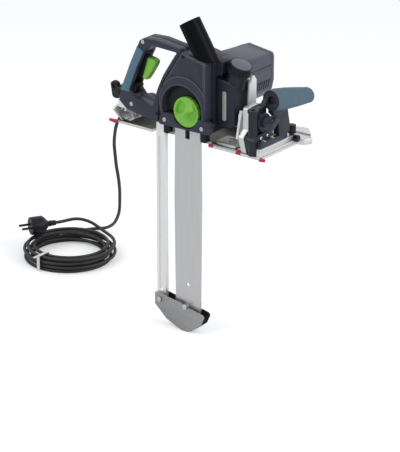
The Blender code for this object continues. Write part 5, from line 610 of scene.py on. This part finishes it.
# The foot's rings as height and radius in mm, and those inside it where the bore comes down.
FOOT_RINGS = [(0.3, 12.0), (0.3, 20.2), (0.6, 20.5), (2.5, 20.5), (3.0, 20.0)]
FOOT_BORE_RINGS = [(6.0, 12.0), (0.3, 12.0)]
# The tube's rings as distance, radius and least height in mm: wall, lip and bore.
TUBE_RINGS = ([(-40.0, 18.8, 3.3), (-40.0, 18.8, 4.2)]
              + [(reach, 19.0, 5.0) for reach in np.linspace(4.0, 67.6, 14)]
              + [(68.2, 18.85), (68.5, 18.4), (68.5, 16.6), (67.9, 16.0)]
              + [(reach, 16.0) for reach in np.linspace(64.0, 21.0, 6)])
swivel_up = unit((0.192221, 0.0, 0.981352))
side = np.array((0.0, 1.0, 0.0))
backward = unit(np.cross(swivel_up, side))
lean = swivel_up * math.cos(SPOUT_LEAN) + backward * math.sin(SPOUT_LEAN)
across_tube = unit(np.cross(lean, side))
spout_turn = np.linspace(0, 2 * np.pi, 96, endpoint=False)


def foot_ring(height_mm, radius_mm):
    """A level ring round the swivel: centre + up*height + r*(side*cos t + backward*sin t)."""
    round_it = np.outer(np.cos(spout_turn), side) + np.outer(np.sin(spout_turn), backward)
    return SWIVEL_AT + swivel_up * height_mm * MM + radius_mm * MM * round_it


def tube_ring(distance_mm, radius_mm, least_mm=None):
    """A ring square to the leaning tube; its points slide along the tube up to the least height, if any."""
    round_it = np.outer(np.cos(spout_turn), side) + np.outer(np.sin(spout_turn), across_tube)
    round_it = radius_mm * MM * round_it
    slide = np.full(len(spout_turn), distance_mm * MM)
    if least_mm is not None:
        slide = np.maximum(slide, (least_mm * MM - round_it @ swivel_up) / (lean @ swivel_up))
    return SPOUT_FOOT + round_it + slide[:, None] * lean


spout_rings = ([foot_ring(*ring) for ring in FOOT_RINGS] + [tube_ring(*ring) for ring in TUBE_RINGS]
               + [foot_ring(*ring) for ring in FOOT_BORE_RINGS])
spout = piece_from_grids("dust_spout_tube", [np.array(spout_rings)], spout_nylon, "dust_spout")
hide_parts("dust_spout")
print("spout:", len(spout_rings), "rings")

# %% [markdown]
# ## The front grip
# The auxiliary grip is a rubber sleeve on a plastic core, waisted for the hand and rounded at its end. Its
# radii come from a few stations and run smoothly between them, and its collar wraps the head of the frame.

# %% The front grip
GRIP_NEAR = np.array((0.150, -0.008, 0.0965))
GRIP_FAR = np.array((0.150, 0.096, 0.0780))
GRIP_STATIONS = (0.0, 0.06, 0.30, 0.55, 0.78, 0.90, 0.965, 1.0)
GRIP_RADII_MM = (18.6, 19.6, 19.0, 17.2, 15.2, 13.8, 9.8, 0.0)
GRIP_BLUR = np.array([1, 2, 3, 4, 3, 2, 1]) / 16
GRIP_OVAL = 0.02
END_FROM = 0.90
END_R_MM = 14.2
CORE_BORE = 9.8 * MM
CORE_SHARE = 0.86
HEAD_BORE = 16.8 * MM
COLLAR_MM = np.array([(-8.6, 16.8), (-9.2, 17.3), (-9.2, 17.9), (-8.4, 18.5), (-4.6, 18.6)])
grip_line = GRIP_FAR - GRIP_NEAR
grip_long = float(np.linalg.norm(grip_line))
share = np.sin(np.linspace(0, np.pi / 2, 72))
waist = np.interp(share, GRIP_STATIONS, GRIP_RADII_MM)
waist[3:-3] = np.convolve(waist, GRIP_BLUR, mode="valid")
at_end = share > END_FROM
waist[at_end] = END_R_MM * np.sqrt(np.clip(1 - ((share[at_end] - END_FROM) / (1 - END_FROM)) ** 2, 0, 1))


def grip_shape(high, wide, turn):
    """The section is a little taller than wide outside the bore: r * (1 + GRIP_OVAL * (cos 2t - 1))."""
    outside = wide > HEAD_BORE + 1.0 * MM
    return high, wide * np.where(outside, 1 + GRIP_OVAL * (np.cos(2 * turn) - 1), 1.0)


grip_profile = np.concatenate([
    [(CORE_SHARE * grip_long, 0.0), (CORE_SHARE * grip_long, CORE_BORE), (0.3 * MM, CORE_BORE),
     (0.3 * MM, HEAD_BORE)],
    COLLAR_MM * MM, np.column_stack([share * grip_long, waist * MM])])
front_grip = piece_from_grids(
    "front_grip_sleeve", [swept_round(grip_profile, GRIP_NEAR, grip_line, (0, 0, 1), 96, grip_shape)],
    grip_rubber, "base", smooth_limit=50.0)
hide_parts("front_grip")
print("front grip:", round(grip_long / MM), "mm long")

# %% [markdown]
# ## The trigger
# The trigger is a lever with round sides on a black carrier that turns on the pin. The lever's level sections
# are superellipses, x = a |cos t|^0.6 and y = b |sin t|^0.6, whose front and back follow its two edges.

# %% The trigger's lever
# From below upwards: height, back and front edge, and half the width, all in mm.
LEVER_MM = np.array([
    (95.0, -89.5, -87.5, 0.5), (95.3, -93.0, -86.0, 4.6), (96.5, -95.0, -84.5, 6.8),
    (99.0, -95.5, -82.5, 7.8), (106.0, -93.2, -77.5, 8.0), (115.0, -90.5, -71.8, 8.0),
    (124.0, -88.0, -66.2, 8.0), (129.0, -86.8, -64.0, 8.0), (132.0, -86.2, -64.0, 7.8),
    (134.5, -85.0, -66.8, 7.2), (136.5, -83.0, -73.5, 5.8), (136.7, -80.0, -79.0, 0.5)])
SQUARENESS = 0.6
PIVOT_AT = (-0.088, -BAR_LEAD, 0.1425)
BOSS_HALF = 6.8 * MM
BOSS_R = 4.4 * MM
PIN_R = 2.1 * MM


def rounded_power(value, power):
    """sign(v) * |v|^power, which squares up a circle when the power is below 1."""
    return np.sign(value) * np.abs(value) ** power


lever_turn = np.linspace(0, 2 * np.pi, 64, endpoint=False)[None, :]
levels = np.arange(len(LEVER_MM))
fine_levels = np.linspace(0, levels[-1], 89)
lever_high, lever_back, lever_front, lever_half = (
    np.interp(fine_levels, levels, column)[:, None] * MM for column in LEVER_MM.T)
lever_x = ((lever_front + lever_back) / 2
           + (lever_front - lever_back) / 2 * rounded_power(np.cos(lever_turn), SQUARENESS))
lever_y = -BAR_LEAD + lever_half * rounded_power(np.sin(lever_turn), SQUARENESS)
lever = np.stack([lever_x, lever_y, lever_high + 0 * lever_turn], axis=-1)
trigger = piece_from_grids("trigger_lever", [lever], green_abs, "trigger",
                           smooth_limit=50.0)
boss_profile = [(-BOSS_HALF, PIN_R), (-BOSS_HALF, BOSS_R), (BOSS_HALF, BOSS_R), (BOSS_HALF, PIN_R),
                (-BOSS_HALF, PIN_R)]
piece_from_grids("trigger_boss", [swept_round(boss_profile, PIVOT_AT, (0, 1, 0), (0, 0, 1), 48)],
                 black_nylon, "trigger", smooth_limit=50.0)
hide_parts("trigger")
print("trigger:", len(trigger.data.polygons), "faces")

# %% [markdown]
# ## The trigger's carrier and the oil tank
# The carrier is a small plate round the pin. The blow-moulded tank has soft edges, a top that falls towards
# the front and a round collar under the cap. Carrier and tank are outlines carried along Y, with a Bevel for
# the edges; collar and neck are turned.


# %% Plates and prisms from an outline
def plate(name, outline, depths, material, body, soften_mm):
    """A closed prism: the outline in X and Z at two depths, two end faces and a band of quads."""
    ring = np.asarray(outline, float)
    count = len(ring)
    points = np.concatenate([np.insert(ring, 1, depth, axis=1) for depth in depths])
    index = np.arange(count)
    band = np.column_stack([index, (index + 1) % count, (index + 1) % count + count, index + count])
    faces = [index[::-1].tolist(), (index + count).tolist()] + band.tolist()
    made = new_piece(name, points, faces, material, body, 180.0)
    rounded(made, soften_mm, 4, 20)
    return made


# %% The trigger's carrier
CARRIER = [(-0.1020, 0.0990), (-0.0880, 0.1000), (-0.0780, 0.1330), (-0.0850, 0.1386), (-0.0905, 0.1384),
           (-0.0935, 0.1290)]
CARRIER_Y = (-56.0 * MM, -44.0 * MM)
plate("trigger_carrier", CARRIER, CARRIER_Y, black_nylon, "trigger", 0.4)
print("trigger's carrier made")

# %% The oil tank
TANK = [(0.0523, 0.0400), (0.0842, 0.0400), (0.0905, 0.0480), (0.0905, 0.1145), (0.0800, 0.1195),
        (0.0600, 0.1228), (0.0523, 0.1228)]
TANK_Y = (-40.0 * MM, -1.0 * MM)
COLLAR_LOW = -6.0 * MM
COLLAR_TOP = 18.0 * MM
COLLAR_R = 18.0 * MM
NECK_R = 12.5 * MM
NECK_TOP = 31.0 * MM
# Tank and collar take the darker nylon: painted shade, as the tank's near face lies in shade.
tank = plate("oil_tank_body", TANK, TANK_Y, nylon_painted_shade, "machine", 2.5)
collar_profile = np.concatenate([
    [(COLLAR_LOW, 0.0), (COLLAR_LOW, COLLAR_R), (2.0 * MM, COLLAR_R), (6.0 * MM, COLLAR_R - 1.2 * MM)],
    arc_points(COLLAR_TOP - 0.8 * MM, COLLAR_R - 2.8 * MM, 0.8 * MM, 0, 90),
    [(COLLAR_TOP, NECK_R), (NECK_TOP, NECK_R), (NECK_TOP, 0.0)]])
piece_from_grids("oil_tank_collar", [swept_round(collar_profile, FILLER_AT, filler_up, (0, 1, 0), 96)],
                 nylon_painted_shade, "machine")
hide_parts("oil_tank")
print("tank and collar made")

# %% [markdown]
# ## Lines on the covers
# The moulded covers have thin beads along their rims and round the dish, a bare nameplate field and ribs on
# top of the handle. A bead is a small circle carried along a line that lies on the face, half sunk in it.


# %% Beads
def bead(line, radius, normal):
    """Circles round each point: normal*cos a + (tangent x normal)*sin a, closed at both ends."""
    line, normal = np.asarray(line, float), np.asarray(normal, float)
    tangent = np.gradient(line, axis=0)
    tangent /= np.linalg.norm(tangent, axis=1, keepdims=True)
    across = np.cross(tangent, normal)
    turn = np.linspace(0, 2 * np.pi, 12, endpoint=False)[None, :, None]
    size = np.full(len(line), radius)
    size[[0, -1]] = 0.0
    return line[:, None] + size[:, None, None] * (np.cos(turn) * normal + np.sin(turn) * across[:, None])


def inset_line(points, distance):
    """An open line in X and Z moved sideways by the distance along the mean normal of its two segments."""
    points = np.asarray(points, float)
    step = np.diff(points, axis=0)
    normal = np.column_stack([step[:, 1], -step[:, 0]]) / np.linalg.norm(step, axis=1, keepdims=True)
    mean = np.vstack([normal[:1], normal[:-1] + normal[1:], normal[-1:]])
    mean /= np.linalg.norm(mean, axis=1, keepdims=True)
    return points + distance * mean


def run_along(line):
    """How far along the line each of its points is."""
    return np.concatenate([[0], np.cumsum(np.linalg.norm(np.diff(line, axis=0), axis=1))])


def on_face(line, y):
    """A line in X and Z, resampled at steps near BEAD_STEP and set at a depth y."""
    run = run_along(line)
    even = np.linspace(0, run[-1], max(4, round(run[-1] / BEAD_STEP)))
    return np.column_stack([np.interp(even, run, line[:, 0]), np.full(len(even), y),
                            np.interp(even, run, line[:, 1])])


def arc_line(centre_x, centre_z, radius, first, last):
    """Points of a circle in X and Z between two angles in degrees."""
    angle = np.radians(np.linspace(first, last, 60))
    return np.column_stack([centre_x + radius * np.cos(angle), centre_z + radius * np.sin(angle)])


NEAR = (0, -1, 0)
UP = (0, 0, 1)
FORWARD = (1, 0, 0)
BEAD_STEP = 1.5 * MM
RIM_BEAD_R = 0.55 * MM
COVER_FACE_Y = -66.0 * MM
RING_FACE_Y = -67.8 * MM
COVER_RIM = [(-0.0500, 0.0560), (-0.0503, 0.0719), (-0.0413, 0.1051), (-0.0021, 0.1650),
             (0.0446, 0.1558), (0.0485, 0.1499), (0.0485, 0.0700)]
RIM_GAPS_MM = (2.0, 4.6)
# Round the raised ring and round the dish: middle and radius in mm, first and last degree, bead's radius.
ROUND_BEADS = [((3.0, 70.0, 51.2), 30, 188, 0.6), ((-1.0, 62.0, 44.7), -12, 200, 0.5)]
# The beads are lighter grey than the cover: painted highlight along the rims and round the ring and dish.
beads = [bead(on_face(inset_line(COVER_RIM, gap * MM), COVER_FACE_Y), RIM_BEAD_R, NEAR)
         for gap in RIM_GAPS_MM]
beads += [bead(on_face(arc_line(*(np.array(circle) * MM), first, last), RING_FACE_Y), radius * MM, NEAR)
          for circle, first, last, radius in ROUND_BEADS]
piece_from_grids("cover_beads", beads, grey_abs_with_painted_highlight, "machine", smooth_limit=60.0)

HANDLE_TOP = np.array([(-0.0800, 0.17325), (-0.0550, 0.1745), (-0.0080, 0.16868)])
RIB_R = 0.6 * MM
RIB_Y = (-62.2 * MM, -59.7 * MM, -57.2 * MM)
rib_x = np.linspace(HANDLE_TOP[0, 0], HANDLE_TOP[-1, 0], 40)
rib_z = np.interp(rib_x, HANDLE_TOP[:, 0], HANDLE_TOP[:, 1])
ribs = [bead(np.column_stack([rib_x, np.full(40, y), rib_z]), RIB_R, UP) for y in RIB_Y]
# The ribs are lighter grey than the handle: painted highlight along them.
piece_from_grids("handle_ribs", ribs, grey_abs_with_painted_highlight, "machine", smooth_limit=60.0)

NAMEPLATE = [(-0.0131, 0.1400), (-0.0045, 0.1490), (0.0335, 0.1445), (0.0398, 0.1262), (0.0285, 0.1262),
             (0.0104, 0.1290), (-0.0122, 0.1289)]
NAMEPLATE_Y = (-66.4 * MM, -65.5 * MM)
plate("nameplate_field", NAMEPLATE, NAMEPLATE_Y, housing_nylon, "machine", 0.25)
print("beads:", len(beads), "ribs:", len(ribs))

# %% [markdown]
# ## The guide bar
# The bar is ground plate. Below the cover one sees the end of its clamp slot, and above the nose a round hole
# through it. Both are cut into a copy of the solid by two Booleans that are applied at once.

# %% The guide bar
SLOT_LOW = 6.0 * MM
SLOT_HIGH = 30.0 * MM
SLOT_HALF = 4.9 * MM
SLOT_CORNER = 1.5 * MM
HOLE_X = -0.5 * MM
HOLE_Z = -264.6 * MM
HOLE_R = 4.0 * MM
THROUGH_BAR_Y = (-56.0 * MM, -44.0 * MM)
bar = placed("guide_bar_ground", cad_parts["guide_bar"].data.copy())
work = bmesh.new()
work.from_mesh(bar.data)
bmesh.ops.remove_doubles(work, verts=work.verts, dist=0.005 * MM)
work.to_mesh(bar.data)
work.free()
corner = np.radians(np.linspace(180, 270, 5))
corner_x = SLOT_CORNER - SLOT_HALF + SLOT_CORNER * np.cos(corner)
corner_z = SLOT_LOW + SLOT_CORNER + SLOT_CORNER * np.sin(corner)
slot_outline = np.vstack([np.column_stack([corner_x, corner_z]), np.column_stack([-corner_x, corner_z])[::-1],
                          [(SLOT_HALF, SLOT_HIGH), (-SLOT_HALF, SLOT_HIGH)]])
hole_turn = np.radians(np.arange(0, 360, 10))
hole_outline = np.column_stack([HOLE_X + HOLE_R * np.cos(hole_turn), HOLE_Z + HOLE_R * np.sin(hole_turn)])
tools = [plate(name, outline, THROUGH_BAR_Y, ground_steel, "machine", 0.01)
         for name, outline in (("slot_cutter", slot_outline), ("hole_cutter", hole_outline))]
for tool in tools:
    tool.modifiers.clear()
    cut = bar.modifiers.new(tool.name, "BOOLEAN")
    cut.operation = "DIFFERENCE"
    cut.solver = "EXACT"
    cut.object = tool
bpy.context.view_layer.update()
cut_mesh = bpy.data.meshes.new_from_object(bar.evaluated_get(bpy.context.evaluated_depsgraph_get()))
bar.modifiers.clear()
bar.data = cut_mesh
for tool in tools:
    bpy.data.objects.remove(tool)
cut_mesh.materials.clear()
cut_mesh.materials.append(ground_steel)
shade(cut_mesh, False)
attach(bar, "machine")
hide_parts("guide_bar")

# The black guide stands behind the slot.
GUIDE = [(-7.0 * MM, 3.5 * MM), (7.0 * MM, 3.5 * MM), (7.0 * MM, 26.0 * MM), (-7.0 * MM, 26.0 * MM)]
GUIDE_Y = (-47.4 * MM, -45.8 * MM)
plate("bar_slot_guide", GUIDE, GUIDE_Y, black_nylon, "machine", 0.2)
print("bar:", len(cut_mesh.polygons), "faces")

# %% [markdown]
# ## Screw heads
# The covers are held by plated screws with six-lobed sockets. One head is a low dome whose middle drops into
# a socket with the radius r(t) = r0 (1 + 0.16 cos 6t). Three heads are blacked, as their seats look dark in
# the photograph, and the heads of one finish on one body go into one mesh.

# %% Screw heads
SEAT_SINK = 0.8 * MM
DOME_LIFT = 0.5 * MM
DOME_SHARE = 0.93
RIM_LIFT = 0.2 * MM
SOCKET_SHARE = 0.46
SOCKET_DEEP = 1.1 * MM
SOCKET_WALL_SHARE = 0.12
LOBE_SHARE = 0.16


def screw_head(at, along, radius):
    """A domed head that fills its seat, with a six-lobed socket in its middle."""
    first = UP if abs(unit(along)[2]) < 0.9 else FORWARD

    def socket_shape(high, wide, turn):
        """Heights on the dome drop by SOCKET_DEEP where the radius is below the lobed one."""
        lobes = SOCKET_SHARE * radius * (1 + LOBE_SHARE * np.cos(6 * turn))
        sunk = SOCKET_DEEP * step_up(lobes - wide, SOCKET_WALL_SHARE * radius)
        return high - np.where(high > SEAT_SINK, sunk, 0.0), wide

    rings = np.linspace(0, 1, 26)
    dome = np.column_stack([SEAT_SINK + DOME_LIFT * (2 - rings ** 2), rings * radius * DOME_SHARE])
    low = 2 * HAIR
    profile = np.concatenate([dome, [(SEAT_SINK + RIM_LIFT, radius), (low, radius), (low, 0.0)]])
    base = np.asarray(at, float) - unit(along) * SEAT_SINK
    return swept_round(profile, base, along, first, 48, socket_shape)


# Each head's place, the way it looks and its radius in mm.
HEADS = [
    ("screw_heads_blacked", black_nylon, "machine",
     [((-0.05427, -0.067, 0.04427), NEAR, 3.6), ((0.00165, -0.066, 0.15724), NEAR, 3.6),
      ((0.0414, -0.066, 0.0663), NEAR, 3.6)]),
    ("screw_heads_machine", turned_steel, "machine",
     [((-0.1116, -0.067, 0.04934), NEAR, 3.6), ((-0.08498, -0.067, 0.16654), NEAR, 3.6),
      ((-0.0405, -0.065, 0.036), NEAR, 3.6), ((0.0395, -0.065, 0.036), NEAR, 3.6)]),
    ("screw_heads_base", turned_steel, "base",
     [((0.070, -0.020, 0.009), UP, 4.2), ((0.1447, -0.0362, 0.03486), FORWARD, 3.6),
      ((0.1447, -0.01784, 0.03486), FORWARD, 3.6), ((0.149, -0.0345, 0.031), UP, 3.6),
      ((0.149, -0.0105, 0.031), UP, 3.6)]),
]
for name, material, body, heads in HEADS:
    piece_from_grids(name, [screw_head(at, along, radius * MM) for at, along, radius in heads],
                     material, body, smooth_limit=35.0)
print("screws:", sum(len(row[-1]) for row in HEADS))

# %% [markdown]
# ## The mains lead
# The lead is about four and a half metres of 6.2 mm rubber cable. It leaves its gland level, sags, slopes
# down behind the saw and winds into a coil in four layers that spiral in and out by turns. Its line is the
# solids' own: a smooth curve through the route's points, and circles whose radius and height follow the turn.

# %% The lead's sizes and route
CORD_R = 3.1 * MM
FLOOR_Z = -351.0 * MM
CORD_LOW_Z = FLOOR_Z + CORD_R
CORD_START = (-0.0823, 0.0720, 0.0360)
POINT_STEP = 9.0 * MM
FINE_STEPS = 12
ROUTE = np.array([
    (-0.0885, 0.0720, 0.0360), (-0.100, 0.0725, 0.0355), (-0.125, 0.073, 0.0335),
    (-0.150, 0.073, 0.032), (-0.170, 0.072, 0.027), (-0.186, 0.070, 0.014), (-0.198, 0.067, -0.006),
    (-0.210, 0.062, -0.030), (-0.223, 0.071, -0.056), (-0.233, 0.081, -0.080),
    (-0.242, 0.094, -0.107), (-0.252, 0.109, -0.135), (-0.263, 0.127, -0.164),
    (-0.277, 0.147, -0.195), (-0.296, 0.170, -0.228), (-0.318, 0.195, -0.262),
    (-0.341, 0.217, -0.289), (-0.370, 0.241, -0.317), (-0.396, 0.257, -0.336),
    (-0.414, 0.261, -0.3450), (-0.430, 0.255, -0.3479), (-0.443, 0.234, -0.3479),
    (-0.4510, 0.205, -0.3479), (-0.4552, 0.180, -0.3479)])
COIL_X = -382.0 * MM
COIL_Y = 125.0 * MM
COIL_OUTER = 85.0 * MM
COIL_INNER = 66.0 * MM
LAYERS = 4
LAYER_TURNS = 1.5625
CLIMB_TURNS = 0.5
COIL_TURNS = LAYERS * LAYER_TURNS + (LAYERS - 1) * CLIMB_TURNS
LAYER_RISE = 7.63 * MM
COIL_START = math.radians(160)
TURN_POINTS = 48
TAIL_TURN = math.radians(80)
TAIL_RADIUS = 61.4 * MM
TAIL_HIGH = 20.7 * MM
TAIL_POINTS = 24
TAIL_INWARD_FROM = 0.35
TAIL_RISEN_BY = 0.7
print("coil:", COIL_TURNS, "turns")


# %% The lead's line
def smooth_line(points):
    """A Catmull-Rom curve through the points, resampled at even steps near POINT_STEP."""
    points = np.asarray(points, float)
    route = np.vstack([2 * points[0] - points[1], points, 2 * points[-1] - points[-2]])
    before, start, end, after = (route[at:len(route) - 3 + at, None] for at in range(4))
    t = (np.arange(FINE_STEPS) / FINE_STEPS)[None, :, None]
    fine = 0.5 * (2 * start + (end - before) * t + (2 * before - 5 * start + 4 * end - after) * t ** 2
                  + (3 * start - before - 3 * end + after) * t ** 3)
    fine = np.vstack([fine.reshape(-1, 3), route[-2]])
    run = run_along(fine)
    even = np.linspace(0, run[-1], round(run[-1] / POINT_STEP) + 1)
    return np.column_stack([np.interp(even, run, column) for column in fine.T])


def coil_line():
    """Points (r cos a, r sin a, z): r runs between the inner and outer turn, z climbs where r turns back."""
    turn = np.linspace(0, COIL_TURNS, round(COIL_TURNS * TURN_POINTS) + 1)
    period = LAYER_TURNS + CLIMB_TURNS
    layer = np.minimum((turn / period).astype(int), LAYERS - 1)
    inside = turn - layer * period
    share = np.minimum(inside / LAYER_TURNS, 1.0)
    inward = np.where(layer % 2 == 0, share, 1 - share)
    tail = np.arange(1, TAIL_POINTS + 1) / TAIL_POINTS
    tail_inward = step_up(tail - TAIL_INWARD_FROM, 1 - TAIL_INWARD_FROM)
    angle = COIL_START + np.concatenate([2 * np.pi * turn, 2 * np.pi * COIL_TURNS + TAIL_TURN * tail])
    radius = COIL_OUTER - np.concatenate([(COIL_OUTER - COIL_INNER) * inward,
                                          (COIL_OUTER - TAIL_RADIUS) * tail_inward])
    z = CORD_LOW_Z + np.concatenate([
        LAYER_RISE * (layer + step_up(inside - LAYER_TURNS, CLIMB_TURNS)),
        LAYER_RISE * (LAYERS - 1) + TAIL_HIGH * step_up(tail, TAIL_RISEN_BY)])
    return np.column_stack([COIL_X + radius * np.cos(angle), COIL_Y + radius * np.sin(angle), z])


def heading(angle):
    """The way that a coil runs at an angle."""
    return np.array((-math.sin(angle), math.cos(angle), 0.0))


coil = coil_line()
cord_step = 2 * CORD_R
into_coil = coil[0] - cord_step * heading(COIL_START)
lead_points = np.vstack([CORD_START, ROUTE, into_coil - cord_step * heading(COIL_START), into_coil])
last_point = coil[-1] + cord_step * heading(COIL_START + 2 * math.pi * COIL_TURNS + TAIL_TURN)
line = np.vstack([smooth_line(lead_points), coil, last_point]) - (0, BAR_LEAD, 0)

# %% Make the lead
curve = bpy.data.curves.new("mains_lead_sheath", "CURVE")
curve.dimensions = "3D"
curve.bevel_depth = CORD_R
curve.bevel_resolution = 3
curve.use_fill_caps = True
spline = curve.splines.new("POLY")
spline.points.add(len(line) - 1)
spline.points.foreach_set("co", np.column_stack([line, np.ones(len(line))]).ravel())
curve.materials.append(cord_rubber)
sheath = placed("mains_lead_sheath", curve)
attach(sheath, "base")
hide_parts("mains_lead", "cord_coil")
print("lead made, bend kept by the route")

# %% [markdown]
# ## Floor, world and lamps
# A product picture has no horizon: the floor is as pale as the world behind it, and it glows a little for
# the camera alone. Rays that the camera or a mirror sends out see a white world, while the light on the saw
# comes from a dimmer one and two large lamps.

# %% Floor
FLOOR_HALF = 12.0
FLOOR_GLOW = 0.30
corners = [(x * FLOOR_HALF, y * FLOOR_HALF, FLOOR_Z) for x, y in ((-1, -1), (1, -1), (1, 1), (-1, 1))]
floor_mesh = bpy.data.meshes.new("floor")
floor_mesh.from_pydata(corners, [], [(0, 1, 2, 3)])
floor = placed("floor", floor_mesh)
floor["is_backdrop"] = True
floor_paper = bpy.data.materials.new("matt_white_paper")
floor_paper.use_nodes = True
shader_inputs(floor_paper)["Base Color"].default_value = linear("#F6F6F6")
shader_inputs(floor_paper)["Roughness"].default_value = 0.9
shader_inputs(floor_paper)["Specular IOR Level"].default_value = 0.1
floor_mesh.materials.append(floor_paper)
tree = floor_paper.node_tree
glow = maths(tree, "MULTIPLY", add_node(tree, "ShaderNodeLightPath").outputs["Is Camera Ray"], FLOOR_GLOW)
lift = add_node(tree, "ShaderNodeEmission", {"Color": WHITE, "Strength": glow})
summed = add_node(tree, "ShaderNodeAddShader",
                  {0: tree.nodes["Principled BSDF"].outputs[0], 1: lift.outputs[0]})
tree.links.new(summed.outputs[0], tree.nodes["Material Output"].inputs["Surface"])
print("floor at", FLOOR_Z, "m")

# %% World
SKY_LIGHT = 0.62
world = bpy.data.worlds.new("studio")
bpy.context.scene.world = world
world.use_nodes = True
sky = world.node_tree
sky.nodes.clear()
ray = add_node(sky, "ShaderNodeLightPath").outputs
seen = maths(sky, "MAXIMUM", maths(sky, "MAXIMUM", ray["Is Camera Ray"], ray["Is Glossy Ray"]),
             ray["Is Transmission Ray"])
lit = add_node(sky, "ShaderNodeBackground", {"Color": linear("#F4F6FA"), "Strength": SKY_LIGHT})
white = add_node(sky, "ShaderNodeBackground", {"Color": WHITE, "Strength": 1.0})
both = add_node(sky, "ShaderNodeMixShader", {0: seen, 1: lit.outputs[0], 2: white.outputs[0]})
add_node(sky, "ShaderNodeOutputWorld", {0: both.outputs[0]})
print("world light", SKY_LIGHT)

# %% Lamps
LAMP_SIZE = 1.6
LAMPS = [("key", (-1.2, -1.6, 2.2), 22.0), ("fill", (2.2, 0.2, 1.3), 30.0)]
for name, at, watts in LAMPS:
    light = bpy.data.lights.new(name, "AREA")
    light.size = LAMP_SIZE
    light.energy = watts
    lamp = placed(name, light)
    lamp.location = at
    lamp.rotation_euler = (-Vector(at)).to_track_quat("-Z", "Y").to_euler()
bpy.context.scene.view_settings.view_transform = "Standard"
print("lamps:", len(LAMPS))

# %% [markdown]
# ## Sizes and finish
# The dressed saw has to stay in the box of the solids, so both boxes are printed side by side.

# %% Sizes and finish
dressed_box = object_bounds()
box_values = (*cad_box[0], *cad_box[1], *dressed_box[0], *dressed_box[1])
print("boxes in mm:", [round(value / MM, 1) for value in box_values])
